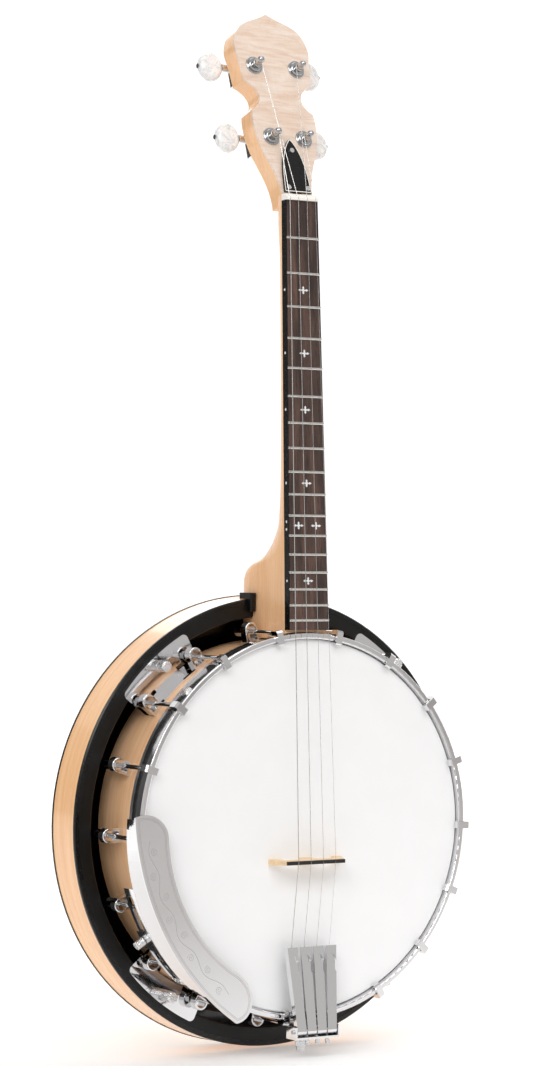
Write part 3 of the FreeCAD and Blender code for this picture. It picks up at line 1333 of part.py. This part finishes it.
def bracket(middle):
    """An angle plate under two shoes, with a flange out over the resonator's band."""
    inner = dim("rim_radius") + 0.05
    upright = sector(inner, BRACKET_SKIN, PLATE_FRONT, FLANGE_BACK, middle, dim("bracket_span"))
    flange = sector(inner, dim("bracket_outer"), FLANGE_FRONT, FLANGE_BACK, middle, dim("bracket_span"))
    whole = upright.fuse(flange).removeSplitter()
    for angle in HOOK_ANGLES:
        if abs(angle - middle) < dim("bracket_span") / 2:
            whole = whole.cut(radial(angle, SHOE_CENTRE, 135, 143, dim("shoe_bolt") + 0.2))
            nut_spot = polar(angle, dim("hook_circle"), FLANGE_FRONT - 2)
            whole = whole.cut(Part.makeCylinder(4.5, 8, nut_spot, AXIS_Y))
    for turn in (-SLOT_TURN, SLOT_TURN):
        whole = whole.cut(sector(143.4, 146.6, FLANGE_FRONT - 1, FLANGE_BACK + 1, middle + turn, 3.2))
    spot = polar(middle, dim("thumb_circle"), FLANGE_FRONT - 2)
    whole = whole.cut(Part.makeCylinder(dim("thumb_shank") + 0.3, 8, spot, AXIS_Y))
    corners = [edge for edge in whole.Edges if abs(edge.Length - dim("bracket_plate")) < 0.01
               and math.hypot(edge.CenterOfMass.x, edge.CenterOfMass.z) > dim("bracket_outer") - 0.5]
    return whole.makeFillet(4.0, corners)


def thumb_screw(middle):
    """A knurled screw with a waist below its head."""
    spot = polar(middle, dim("thumb_circle"), 0)

    def stack(front, back, radius):
        return Part.makeCylinder(radius, back - front, V(spot.x, front, spot.z), AXIS_Y)

    seat = FLANGE_FRONT - 0.03
    head = stack(seat - 17.6, seat - 10.4, 4.2)
    head = head.makeFillet(1.3, [edge for edge in head.Edges if edge.BoundBox.YMax < seat - 17.5])
    pieces = [head, stack(seat - 10.5, seat - 7.6, 2.6), stack(seat - 7.7, seat, 4.4),
              stack(seat - 0.1, seat + 12.5, dim("thumb_shank"))]
    return pieces[0].fuse(pieces[1:])


keep("resonator_brackets", group("resonator_brackets", [bracket(angle) for angle in BRACKET_ANGLES]))
keep("thumb_screws", group("thumb_screws", [thumb_screw(angle) for angle in BRACKET_ANGLES]))

# ---------------------------------------------------------------- final place, checks and files

doc.recompute()
to_rest = Placement(V(0, -dim("rest_depth"), 0), Rotation())
for item in parts.values():
    item.Placement = to_rest.multiply(item.Placement)
doc.recompute()

faults = []
for item in doc.Objects:
    if "Invalid" in item.State or "Error" in item.State:
        faults.append("%s is %s" % (item.Name, ", ".join(item.State)))
for node, item in parts.items():
    shape = item.Shape
    if shape.isNull() or not shape.isValid() or not shape.Solids:
        faults.append(node + " has no valid solid")
if faults:
    raise RuntimeError("; ".join(faults))

os.makedirs("parts", exist_ok=True)
for node, item in parts.items():
    item.Shape.exportStep("parts/%s.step" % node)
    print("%-22s %3d solids %10.1f mm3" % (node, len(item.Shape.Solids), item.Shape.Volume))
print(len(parts), "nodes")
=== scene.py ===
import json
import math

import bmesh
import bpy
from mathutils import Matrix, Vector
from mathutils.geometry import intersect_point_line


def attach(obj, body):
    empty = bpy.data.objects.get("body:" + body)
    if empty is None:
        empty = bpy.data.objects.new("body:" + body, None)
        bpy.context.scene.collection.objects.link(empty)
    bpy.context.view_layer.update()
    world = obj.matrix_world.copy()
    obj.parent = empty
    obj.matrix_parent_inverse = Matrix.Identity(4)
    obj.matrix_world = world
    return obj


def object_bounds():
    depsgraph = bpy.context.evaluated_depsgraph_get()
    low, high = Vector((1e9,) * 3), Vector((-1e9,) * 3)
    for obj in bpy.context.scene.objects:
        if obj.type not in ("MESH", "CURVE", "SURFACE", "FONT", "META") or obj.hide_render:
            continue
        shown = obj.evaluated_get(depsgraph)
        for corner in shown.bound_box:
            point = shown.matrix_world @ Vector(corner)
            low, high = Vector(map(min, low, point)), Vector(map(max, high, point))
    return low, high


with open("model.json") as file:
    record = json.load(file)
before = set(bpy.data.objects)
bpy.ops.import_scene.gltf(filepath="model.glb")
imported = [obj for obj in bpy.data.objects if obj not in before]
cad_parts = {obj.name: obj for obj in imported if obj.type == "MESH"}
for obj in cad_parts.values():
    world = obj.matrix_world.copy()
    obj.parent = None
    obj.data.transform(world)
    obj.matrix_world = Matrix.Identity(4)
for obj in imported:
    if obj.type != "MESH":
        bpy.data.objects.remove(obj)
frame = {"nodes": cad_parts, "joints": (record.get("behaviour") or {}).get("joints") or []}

# A resonator banjo in metres: +X is the viewer's right, +Y runs out of the resonator's back,
# +Z runs up the neck. The drum head's face lies 97 mm in front of the origin.

CAD_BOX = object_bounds()
MM = 0.001
NODES = frame["nodes"]
SCENE = bpy.context.scene

# ---------------------------------------------------------------- camera


def make_camera():
    """Stands to the left of the head and a little above its middle."""
    data = bpy.data.cameras.new("camera")
    data.lens = 107.91
    data.sensor_width = 36.0
    data.clip_end = 60.0
    camera = bpy.data.objects.new("camera", data)
    SCENE.collection.objects.link(camera)
    right = Vector((0.84443591, -0.53557938, 0.00909496))
    up = Vector((-0.01163056, -0.00135728, 0.99993144))
    back = Vector((-0.53553032, -0.8444838, -0.00737522))
    turn = Matrix((right, up, back)).transposed()
    camera.matrix_world = Matrix.Translation((-1.31117, -2.10785, 0.20179)) @ turn.to_4x4()
    SCENE.camera = camera


make_camera()

# ---------------------------------------------------------------- node helpers


class Shader:
    """Builds one material from a principled shader and a few texture nodes."""

    def __init__(self, name, color, roughness, **settings):
        self.material = bpy.data.materials.new(name)
        self.material.use_nodes = True
        self.tree = self.material.node_tree
        self.principled = self.tree.nodes["Principled BSDF"]
        self.set("Base Color", (*color, 1.0))
        self.set("Roughness", roughness)
        for socket, value in settings.items():
            self.set(socket.replace("_", " "), value)

    def set(self, socket, value):
        self.principled.inputs[socket].default_value = value

    def node(self, kind, links=None, **values):
        item = self.tree.nodes.new("ShaderNode" + kind)
        for key, value in values.items():
            if hasattr(item, key):
                setattr(item, key, value)
            else:
                item.inputs[key.replace("_", " ")].default_value = value
        for socket, source in (links or {}).items():
            self.tree.links.new(source, item.inputs[socket])
        return item

    def place(self, scale=(1, 1, 1)):
        """Positions in the object's own frame, stretched."""
        where = self.node("TexCoord").outputs["Object"]
        mapping = self.node("Mapping", {"Vector": where})
        mapping.inputs["Scale"].default_value = scale
        return mapping.outputs["Vector"]

    def around(self, radius, scale):
        """Positions unrolled about the drum's axis: along the curve, and depth."""
        split = self.node("SeparateXYZ", {"Vector": self.node("TexCoord").outputs["Object"]})
        turn = self.node("Math", {0: split.outputs["X"], 1: split.outputs["Z"]}, operation="ARCTAN2")
        along = self.node("Math", {0: turn.outputs[0]}, operation="MULTIPLY")
        along.inputs[1].default_value = radius * scale[0]
        deep = self.node("Math", {0: split.outputs["Y"]}, operation="MULTIPLY")
        deep.inputs[1].default_value = scale[1]
        joined = self.node("CombineXYZ", {"X": along.outputs[0], "Y": deep.outputs[0]})
        return joined.outputs["Vector"]

    def noise(self, where, scale, detail=4.0, roughness=0.55, distortion=0.0):
        item = self.node("TexNoise", {"Vector": where}, Scale=scale, Detail=detail,
                         Roughness=roughness, Distortion=distortion)
        return item.outputs["Fac"]

    def ramp(self, value, stops):
        item = self.node("ValToRGB", {"Fac": value})
        band = item.color_ramp
        while len(band.elements) < len(stops):
            band.elements.new(0.5)
        for element, (place, color) in zip(band.elements, stops):
            element.position = place
            element.color = (*color, 1.0)
        return item.outputs["Color"]

    def span(self, value, low, high):
        item = self.node("MapRange", {"Value": value})
        item.inputs["From Min"].default_value = 0.3
        item.inputs["From Max"].default_value = 0.7
        item.inputs["To Min"].default_value = low
        item.inputs["To Max"].default_value = high
        return item.outputs["Result"]

    def mix(self, share, first, second, blend="MIX"):
        item = self.node("Mix", data_type="RGBA", blend_type=blend)
        for index, source in ((0, share), (6, first), (7, second)):
            if isinstance(source, (int, float)):
                item.inputs[index].default_value = source
            elif isinstance(source, tuple):
                item.inputs[index].default_value = (*source, 1.0)
            else:
                self.tree.links.new(source, item.inputs[index])
        return item.outputs[2]

    def link(self, source, socket):
        self.tree.links.new(source, self.principled.inputs[socket])

    def bump(self, height, strength, distance):
        item = self.node("Bump", {"Height": height}, Strength=strength, Distance=distance)
        self.link(item.outputs["Normal"], "Normal")


def tone(code):
    """A screen colour such as F3C896 as linear values."""
    parts = [int(code[index:index + 2], 16) / 255 for index in (0, 2, 4)]
    return tuple(part / 12.92 if part <= 0.04045 else ((part + 0.055) / 1.055) ** 2.4 for part in parts)


# ---------------------------------------------------------------- materials


def metal(name, color, rough, grime=0.03):
    """Plated metal: bright, with faint cloudy differences in its polish."""
    made = Shader(name, color, rough, Metallic=1.0)
    cloud = made.noise(made.place(), 90.0, 3.0)
    made.link(made.span(cloud, max(rough - grime, 0.02), rough + grime), "Roughness")
    fine = made.noise(made.place(), 700.0, 2.0)
    made.bump(fine, 0.04, 0.0002)
    return made.material


def knurled(name, color, rough):
    """Plated metal cut with fine crossed grooves for the fingers."""
    made = Shader(name, color, rough, Metallic=1.0)
    cells = made.node("TexVoronoi", {"Vector": made.place()}, Scale=1150.0).outputs["Distance"]
    made.link(made.span(cells, rough, rough + 0.1), "Roughness")
    made.bump(cells, 0.7, 0.0005)
    return made.material


def straight_wood(name, light, dark, gloss, where_scale, coat=0.5):
    """Wood with long fibres and slow changes of tone."""
    made = Shader(name, tone(light), gloss, Coat_Weight=coat, Coat_Roughness=0.08)
    place = made.place(where_scale)
    broad = made.noise(place, 1.0, 5.0, 0.6, 0.4)
    fine = made.noise(place, 7.0, 6.0, 0.7)
    base = made.ramp(broad, [(0.32, tone(dark)), (0.6, tone(light))])
    pores = made.ramp(fine, [(0.4, tone(dark)), (0.62, tone(light))])
    made.link(made.mix(0.3, base, pores), "Base Color")
    made.link(made.span(fine, gloss + 0.06, gloss - 0.06), "Roughness")
    made.bump(fine, 0.05, 0.0002)
    return made.material


def bent_wood(name, light, dark, gloss, radius, coat=0.5):
    """A bent strip of wood whose fibres follow the curve."""
    made = Shader(name, tone(light), gloss, Coat_Weight=coat, Coat_Roughness=0.07)
    place = made.around(radius, (9.0, 260.0))
    broad = made.noise(place, 1.0, 5.0, 0.6, 0.5)
    fine = made.noise(place, 5.0, 6.0, 0.7)
    base = made.ramp(broad, [(0.35, tone(dark)), (0.6, tone(light))])
    pores = made.ramp(fine, [(0.35, tone(dark)), (0.6, tone(light))])
    made.link(made.mix(0.35, base, pores), "Base Color")
    made.link(made.span(fine, gloss + 0.05, gloss - 0.05), "Roughness")
    made.bump(fine, 0.04, 0.0002)
    return made.material


def curly_maple():
    """Figured veneer: soft bands across the grain, with fibres along the peghead."""
    made = Shader("curly_maple", tone("E9D3BE"), 0.24, Coat_Weight=0.7, Coat_Roughness=0.05)
    warped = made.noise(made.place((14, 14, 60)), 1.6, 4.0, 0.6, 1.6)
    ripple = made.noise(made.place((40, 40, 330)), 1.0, 3.0, 0.5, 1.0)
    fibre = made.noise(made.place((900, 900, 22)), 1.0, 5.0, 0.6)
    figure = made.ramp(warped, [(0.36, tone("E6C8B0")), (0.52, tone("F1DCCB")), (0.66, tone("F8EADF"))])
    waves = made.ramp(ripple, [(0.38, tone("DFC1A6")), (0.58, tone("F6E5D8"))])
    lines = made.ramp(fibre, [(0.34, tone("E6CCB4")), (0.6, tone("F4E3D6"))])
    color = made.mix(0.42, figure, waves)
    made.link(made.mix(0.22, color, lines), "Base Color")
    made.bump(fibre, 0.03, 0.0001)
    return made.material


def rosewood():
    """Dark open-pored wood with reddish streaks."""
    made = Shader("rosewood", tone("4A3B35"), 0.42, Coat_Weight=0.08, Coat_Roughness=0.3)
    broad = made.noise(made.place((120, 120, 9)), 1.0, 5.0, 0.6, 0.5)
    pore = made.noise(made.place((1500, 1500, 60)), 1.0, 4.0, 0.7)
    streaks = made.ramp(broad, [(0.34, tone("30211C")), (0.5, tone("4A362E")), (0.68, tone("6B4F45"))])
    pores = made.ramp(pore, [(0.36, tone("1D1310")), (0.5, tone("FFFFFF"))])
    made.link(made.mix(0.55, streaks, pores, "MULTIPLY"), "Base Color")
    made.link(made.span(pore, 0.55, 0.36), "Roughness")
    made.bump(pore, 0.25, 0.0002)
    return made.material


def pearl(name, shine):
    """Pearl-like plastic with folded pale clouds."""
    made = Shader(name, tone("EFEFEC"), 0.18, Coat_Weight=0.6, Coat_Roughness=0.04,
                  Subsurface_Weight=0.15, Subsurface_Scale=0.002)
    folds = made.noise(made.place(), shine, 3.0, 0.5, 2.4)
    made.link(made.ramp(folds, [(0.36, tone("DDE0E4")), (0.5, tone("F4F4F2")), (0.64, tone("FFFFFF"))]),
              "Base Color")
    return made.material


def painted_shade_inside(material):
    """Painted shade: black on the side that faces forward, which is the hidden floor of the resonator,
    standing in for the shade that falls inside it.
    """
    tree = material.node_tree
    color = tree.nodes["Principled BSDF"].inputs["Base Color"]
    wood = color.links[0].from_socket
    split = tree.nodes.new("ShaderNodeSeparateXYZ")
    tree.links.new(tree.nodes.new("ShaderNodeTexCoord").outputs["Normal"], split.inputs[0])
    front = tree.nodes.new("ShaderNodeMath")
    front.operation = "LESS_THAN"
    front.inputs[1].default_value = -0.3
    tree.links.new(split.outputs["Y"], front.inputs[0])
    mix = tree.nodes.new("ShaderNodeMix")
    mix.data_type = "RGBA"
    # painted shade: near-black colour for the resonator's shaded inside floor
    mix.inputs[7].default_value = (*tone("0B0A0A"), 1.0)
    tree.links.new(front.outputs[0], mix.inputs[0])
    tree.links.new(wood, mix.inputs[6])
    tree.links.new(mix.outputs[2], color)
    return material


def plain(name, code, rough, speck, bump, even=0.9, **settings):
    """Plastic, bone, lacquer or film with a fine grain; even is the share of colour in its dull clouds."""
    made = Shader(name, tone(code), rough, **settings)
    cloud = made.noise(made.place(), 40.0, 4.0)
    grain = made.noise(made.place(), speck, 3.0)
    base = tone(code)
    darker = tuple(value * even for value in base)
    made.link(made.ramp(cloud, [(0.35, darker), (0.65, base)]), "Base Color")
    made.link(made.span(grain, rough - 0.04, rough + 0.05), "Roughness")
    made.bump(grain, bump, 0.0002)
    return made.material


CHROME = metal("chrome", (0.80, 0.80, 0.81), 0.07)
KNURLED = knurled("knurled_chrome", (0.78, 0.78, 0.79), 0.12)
ENGRAVED = metal("engraved_line", (0.52, 0.51, 0.51), 0.35)
NICKEL = metal("nickel", (0.5, 0.51, 0.52), 0.08)
STEEL = metal("steel", (0.55, 0.55, 0.56), 0.3)
FRET_WIRE = metal("fret_wire", (0.72, 0.71, 0.68), 0.18)
STRING_WIRE = metal("string_wire", (0.66, 0.65, 0.63), 0.25)
WOUND_WIRE = metal("wound_wire", (0.60, 0.56, 0.50), 0.32)
ALUMINIUM = metal("aluminium", (0.75, 0.75, 0.77), 0.3)
BRASS = metal("brass", (0.78, 0.58, 0.28), 0.28)
HEAD_FILM = plain("head_film", "FBFCFD", 0.5, 900.0, 0.08, 0.98)
NECK_MAPLE = straight_wood("neck_maple", "FFD2A4", "F2BC88", 0.28, (55, 55, 3.2))
PEG_MAPLE = curly_maple()
SIDE_MAPLE = bent_wood("side_maple", "FFCF9C", "F4BA84", 0.25, 0.168)
# The back's forward-facing inside is painted black as painted shade, not a real stain.
BACK_MAPLE = painted_shade_inside(straight_wood("back_maple", "F2CB92", "E2AE72", 0.22, (34, 34, 2.4)))
RIM_MAPLE = bent_wood("rim_maple", "FBD0A6", "EBB583", 0.35, 0.138, 0.25)
BRIDGE_MAPLE = straight_wood("bridge_maple", "F6DDB8", "E4BE90", 0.5, (14, 300, 300), 0.0)
ROSEWOOD = rosewood()
EBONY = plain("ebony", "1E1A19", 0.42, 1400.0, 0.12)
BONE = plain("bone", "FDFBF4", 0.35, 900.0, 0.03, 0.97)
BLACK_LACQUER = plain("black_lacquer", "0B0B0A", 0.34, 500.0, 0.02, Specular_IOR_Level=0.35)
BLACK_PLASTIC = plain("black_plastic", "0A0A0A", 0.24, 700.0, 0.02, Specular_IOR_Level=0.4)
PEARL_BUTTON = pearl("pearl_button", 160.0)
PEARL_INLAY = pearl("pearl_inlay", 700.0)

LOOKS = {
    "rim": RIM_MAPLE, "tone_hoop": CHROME, "drum_head": HEAD_FILM, "flesh_hoop": ALUMINIUM,
    "tension_hoop": CHROME, "tension_hooks": CHROME, "hook_shoes": CHROME, "hook_nuts": CHROME,
    "shoe_bolts": STEEL, "coordinator_rods": CHROME, "heel_bolts": STEEL, "rod_nuts": CHROME,
    "neck": NECK_MAPLE, "peghead_veneer": PEG_MAPLE, "fretboard": ROSEWOOD,
    "fretboard_binding": BLACK_PLASTIC, "frets": FRET_WIRE, "fret_markers": PEARL_INLAY, "nut": BONE,
    "truss_rod": STEEL, "truss_rod_cover": BLACK_PLASTIC, "tuner_housings": CHROME,
    "tuner_bushings": NICKEL, "peghead_screws": CHROME, "bridge": BRIDGE_MAPLE, "bridge_cap": EBONY,
    "strings": STRING_WIRE, "tailpiece_bracket": CHROME, "tailpiece_pin": STEEL,
    "tailpiece_screws": KNURLED, "tailpiece_bolt": CHROME, "armrest": CHROME, "armrest_clamp": KNURLED,
    "resonator_wall": SIDE_MAPLE, "resonator_back": BACK_MAPLE, "resonator_band": BLACK_LACQUER,
    "resonator_binding": BLACK_PLASTIC, "resonator_lugs": BRASS, "resonator_brackets": CHROME,
    "thumb_screws": KNURLED,
}
FAMILIES = (("string_post", NICKEL), ("worm_shaft", CHROME), ("tuner_button", PEARL_BUTTON),
            ("tailpiece_finger", CHROME), ("string_tail", STRING_WIRE))


def look_of(node):
    """The material of a node, or of the family that it is numbered in."""
    if node in LOOKS:
        return LOOKS[node]
    return next(look for family, look in FAMILIES if node.startswith(family))


for name, item in NODES.items():
    item.data.materials.clear()
    item.data.materials.append(look_of(name))

# ---------------------------------------------------------------- fine details


STRING_RADII = (0.36 * MM, 0.27 * MM, 0.2 * MM, 0.16 * MM)
POST_NECK = 2.6 * MM
WINDING_START, WINDING_LENGTH = -6.0 * MM, 1.7 * MM
VINE_START, VINE_TURN, VINE_RADIUS = -92, -57, 136.5
VINE_STEPS, CURLS, CURL_STEPS = 120, 8, 36


def add_mesh(name, rows, look, body, closed=False):
    """A surface through rows of points, which rides on a body."""
    build = bmesh.new()
    lines = [[build.verts.new(point) for point in row] for row in rows]
    pairs = list(zip(lines, lines[1:]))
    if closed:
        pairs.append((lines[-1], lines[0]))
    for first, second in pairs:
        for a, b, c, d in zip(first, first[1:], second[1:], second):
            build.faces.new((a, b, c, d)).smooth = True
    mesh = bpy.data.meshes.new(name)
    build.to_mesh(mesh)
    build.free()
    mesh.materials.append(look)
    item = bpy.data.objects.new(name, mesh)
    SCENE.collection.objects.link(item)
    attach(item, body)


def tube_rows(points, radius, sides=10):
    """Rings of points about a smooth line."""
    rows = []
    for index, point in enumerate(points):
        ahead = points[min(index + 1, len(points) - 1)] - points[max(index - 1, 0)]
        side = ahead.orthogonal() if not rows else side - ahead * (side.dot(ahead) / ahead.dot(ahead))
        side = side.normalized()
        other = ahead.cross(side).normalized()
        turns = [2 * math.pi * step / sides for step in range(sides + 1)]
        rows.append([point + (side * math.cos(turn) + other * math.sin(turn)) * radius for turn in turns])
    return rows


def line_rows(points, normal, width, lift, closed):
    """A low rounded bead drawn along a line on a flat face."""
    rows = []
    count = len(points)
    for index, point in enumerate(points):
        if closed:
            ahead = points[(index + 1) % count] - points[index - 1]
        else:
            ahead = points[min(index + 1, count - 1)] - points[max(index - 1, 0)]
        side = normal.cross(ahead).normalized() * width / 2
        rows.append([point - side, point - side * 0.5 + normal * lift, point + side * 0.5 + normal * lift,
                     point + side])
    return rows


def front_border(node):
    """The border of a plate's flat front, anticlockwise, and the way that the front faces."""
    item = NODES[node]
    build = bmesh.new()
    build.from_mesh(item.data)
    build.transform(item.matrix_world)
    bmesh.ops.remove_doubles(build, verts=build.verts, dist=1e-6)
    build.normal_update()
    forward = [face for face in build.faces if face.normal.y < -0.6]
    normal = max(forward, key=lambda face: face.calc_area()).normal.copy()
    front = {face for face in forward if face.normal.dot(normal) > 0.9995}
    nexts = {}
    for face in front:
        for loop in face.loops:
            if not any(other in front for other in loop.edge.link_faces if other is not face):
                nexts[loop.vert] = loop.link_loop_next.vert
    longest = []
    while nexts:
        start = next(iter(nexts))
        chain = [start]
        while nexts.get(chain[-1]):
            chain.append(nexts.pop(chain[-1]))
        if len(chain) > len(longest):
            longest = chain
    border = [vert.co.copy() for vert in longest[:-1]]
    build.free()
    return border, normal


def spaced(points, step):
    """Points an even step apart round a closed line."""
    out = []
    left = 0.0
    for start, end in zip(points, points[1:] + points[:1]):
        length = (end - start).length
        while left < length:
            out.append(start.lerp(end, left / length))
            left += step
        left -= length
    return out


def inset(points, normal, distance, step=0.8 * MM):
    """The line that lies a distance inside a closed anticlockwise line."""
    fine = spaced(points, step)
    count = len(fine)
    out = []
    for index, point in enumerate(fine):
        ahead = fine[(index + 2) % count] - fine[index - 2]
        moved = point + normal.cross(ahead).normalized() * distance
        clear = True
        for start, end in zip(points, points[1:] + points[:1]):
            near, share = intersect_point_line(moved, start, end)
            near = start.lerp(end, min(max(share, 0.0), 1.0))
            if (near - moved).length < distance * 0.97:
                clear = False
                break
        if clear:
            out.append(moved)
    return out


def vine_point(share, aside, depth):
    """A point a share of the way down the armrest, aside from its middle line in millimetres."""
    turn = math.radians(VINE_START + VINE_TURN * share)
    reach = (VINE_RADIUS + 4.0 * (2 * share - 1) ** 2 + aside) * MM
    return Vector((reach * math.sin(turn), depth, reach * math.cos(turn)))


def make_armrest_engraving():
    """Two fine lines round the plate, and a plain vine with curls between them."""
    border, normal = front_border("armrest")
    depth = border[0].y
    for index, distance in enumerate((2.2 * MM, 3.2 * MM)):
        rows = line_rows(inset(border, normal, distance), normal, 0.35 * MM, 0.02 * MM, True)
        add_mesh("armrest_border_%d" % (index + 1), rows, ENGRAVED, "banjo", True)
    shares = [step / VINE_STEPS for step in range(VINE_STEPS + 1)]
    stem = [vine_point(share, 2.2 * math.sin(share * CURLS * math.pi), depth) for share in shares]
    rows = line_rows(stem, normal, 0.4 * MM, 0.02 * MM, False)
    add_mesh("armrest_vine", rows, ENGRAVED, "banjo")
    for index in range(CURLS):
        hand = 1 if index % 2 else -1
        middle = vine_point((index + 0.5) / CURLS, hand * 2.4, depth)
        curl = []
        for step in range(CURL_STEPS + 1):
            part = step / CURL_STEPS
            turn = hand * part * 3.4 * math.pi + index
            size = (0.4 + 2.6 * part) * MM
            curl.append(middle + Vector((math.cos(turn), 0, math.sin(turn))) * size)
        rows = line_rows(curl, normal, 0.35 * MM, 0.02 * MM, False)
        add_mesh("armrest_curl_%d" % (index + 1), rows, ENGRAVED, "banjo")


def make_cover_edge():
    """The pale layer that shows round the edge of the cover at the nut."""
    border, normal = front_border("truss_rod_cover")
    rows = line_rows(inset(border, normal, 0.4 * MM, 0.5 * MM), normal, 0.7 * MM, 0.05 * MM, True)
    add_mesh("cover_edge", rows, BONE, "banjo", True)


def make_windings():
    """The turns that each string takes round its post."""
    joints = {joint["name"]: joint for joint in frame["joints"]}
    for index, radius in enumerate(STRING_RADII):
        joint = joints["post_turn_%d" % (index + 1)]
        middle, axis = Vector(joint["pos_m"]), Vector(joint["axis"])
        side = -1 if middle.x > 0 else 1
        inward = Vector((side, 0, 0))
        across = axis.cross(inward)
        pitch = 2.06 * radius
        turns = min(4.0, WINDING_LENGTH / pitch)
        points = []
        for step in range(int(turns * 20) + 1):
            turn = -side * 2 * math.pi * step / 20
            deep = axis * (WINDING_START + pitch * step / 20)
            out = inward * math.cos(turn) + across * math.sin(turn)
            points.append(middle + deep + out * (POST_NECK + radius))
        look = WOUND_WIRE if index == 0 else STRING_WIRE
        rows = tube_rows(points, radius)
        add_mesh("winding_%d" % (index + 1), rows, look, "post_%d" % (index + 1))


make_armrest_engraving()
make_cover_edge()
make_windings()

# ---------------------------------------------------------------- studio


def make_floor():
    """A pale sheet that runs back under the banjo and curves up behind it."""
    low = CAD_BOX[0][2] - 0.5 * MM
    front, bend, radius, height, half_width = -4.0, 3.0, 1.5, 6.0, 7.0
    profile = [(front, low), (bend, low)]
    for step in range(1, 13):
        turn = math.pi / 2 * step / 12
        profile.append((bend + radius * math.sin(turn), low + radius * (1 - math.cos(turn))))
    profile.append((bend + radius, low + height))
    mesh = bpy.data.meshes.new("floor")
    build = bmesh.new()
    rows = [[build.verts.new((x, y, z)) for x in (-half_width, half_width)] for y, z in profile]
    for first, second in zip(rows, rows[1:]):
        build.faces.new((first[0], first[1], second[1], second[0])).smooth = True
    build.to_mesh(mesh)
    build.free()
    floor = bpy.data.objects.new("floor", mesh)
    SCENE.collection.objects.link(floor)
    floor.matrix_world = Matrix.Rotation(math.atan2(0.8445, 0.5355) - math.pi / 2, 4, "Z")
    mesh.materials.append(floor_paint())


def floor_paint():
    """White under and behind the banjo, greyer towards the viewer, with a faint glow of its own."""
    white, grey = (0.93, 0.93, 0.93), (0.62, 0.6, 0.59)
    made = Shader("floor", white, 0.9)
    speck = made.noise(made.place(), 60.0)
    made.link(made.span(speck, 0.86, 0.94), "Roughness")
    made.set("Emission Color", (1, 1, 1, 1))
    split = made.node("SeparateXYZ", {"Vector": made.place()})
    depth = made.node("MapRange", {"Value": split.outputs["Y"]})
    depth.inputs["From Min"].default_value = -0.6
    depth.inputs["From Max"].default_value = 0.1
    made.link(made.ramp(depth.outputs[0], [(0.0, grey), (1.0, white)]), "Base Color")
    glow = made.node("Math", {0: depth.outputs[0]}, operation="MULTIPLY")
    glow.inputs[1].default_value = 0.34
    made.link(glow.outputs[0], "Emission Strength")
    return made.material


def area_light(name, where, target, size, power):
    """A soft rectangular light aimed at a point."""
    data = bpy.data.lights.new(name, "AREA")
    data.shape = "RECTANGLE"
    data.size, data.size_y = size
    data.energy = power
    light = bpy.data.objects.new(name, data)
    SCENE.collection.objects.link(light)
    aim = Vector(target) - Vector(where)
    light.rotation_mode = "QUATERNION"
    light.rotation_quaternion = aim.to_track_quat("-Z", "Y")
    light.location = where


def make_world():
    """Soft surroundings: light in front and above, dim behind, so that plated parts show contrast."""
    world = bpy.data.worlds.new("studio")
    SCENE.world = world
    world.use_nodes = True
    tree = world.node_tree
    back = tree.nodes["Background"]
    back.inputs["Strength"].default_value = 0.66
    lean = tree.nodes.new("ShaderNodeVectorMath")
    lean.operation = "DOT_PRODUCT"
    lean.inputs[1].default_value = (0.0, -0.8, 0.45)
    coords = tree.nodes.new("ShaderNodeTexCoord")
    ramp = tree.nodes.new("ShaderNodeValToRGB")
    shift = tree.nodes.new("ShaderNodeMapRange")
    tree.links.new(coords.outputs["Generated"], lean.inputs[0])
    tree.links.new(lean.outputs["Value"], shift.inputs["Value"])
    shift.inputs["From Min"].default_value = -1.0
    tree.links.new(shift.outputs["Result"], ramp.inputs["Fac"])
    stops = ((0.0, 0.3), (0.16, 0.1), (0.34, 0.3), (0.46, 0.9), (0.56, 0.32), (0.68, 0.95),
             (0.84, 0.86), (0.95, 1.0))
    band = ramp.color_ramp
    while len(band.elements) < len(stops):
        band.elements.new(0.5)
    for element, (place, value) in zip(band.elements, stops):
        element.position = place
        element.color = (value, value * 0.97, value * 0.95, 1.0)
    tree.links.new(ramp.outputs["Color"], back.inputs["Color"])


make_floor()
make_world()
area_light("key", (-2.6, -2.2, 2.2), (0, -0.05, 0.15), (1.6, 1.6), 38.0)
area_light("front", (-0.3, -2.9, 2.9), (0, -0.05, 0.1), (2.6, 1.2), 34.0)
area_light("top", (0.3, 0.2, 2.8), (0, -0.05, 0.1), (2.0, 1.4), 9.0)
area_light("side", (-2.6, 0.9, 0.3), (0, -0.05, 0.0), (1.2, 2.4), 7.0)
area_light("behind", (1.2, 2.8, 1.6), (0, 0.0, 0.1), (1.4, 1.4), 9.0)
SCENE.view_settings.view_transform = "Standard"
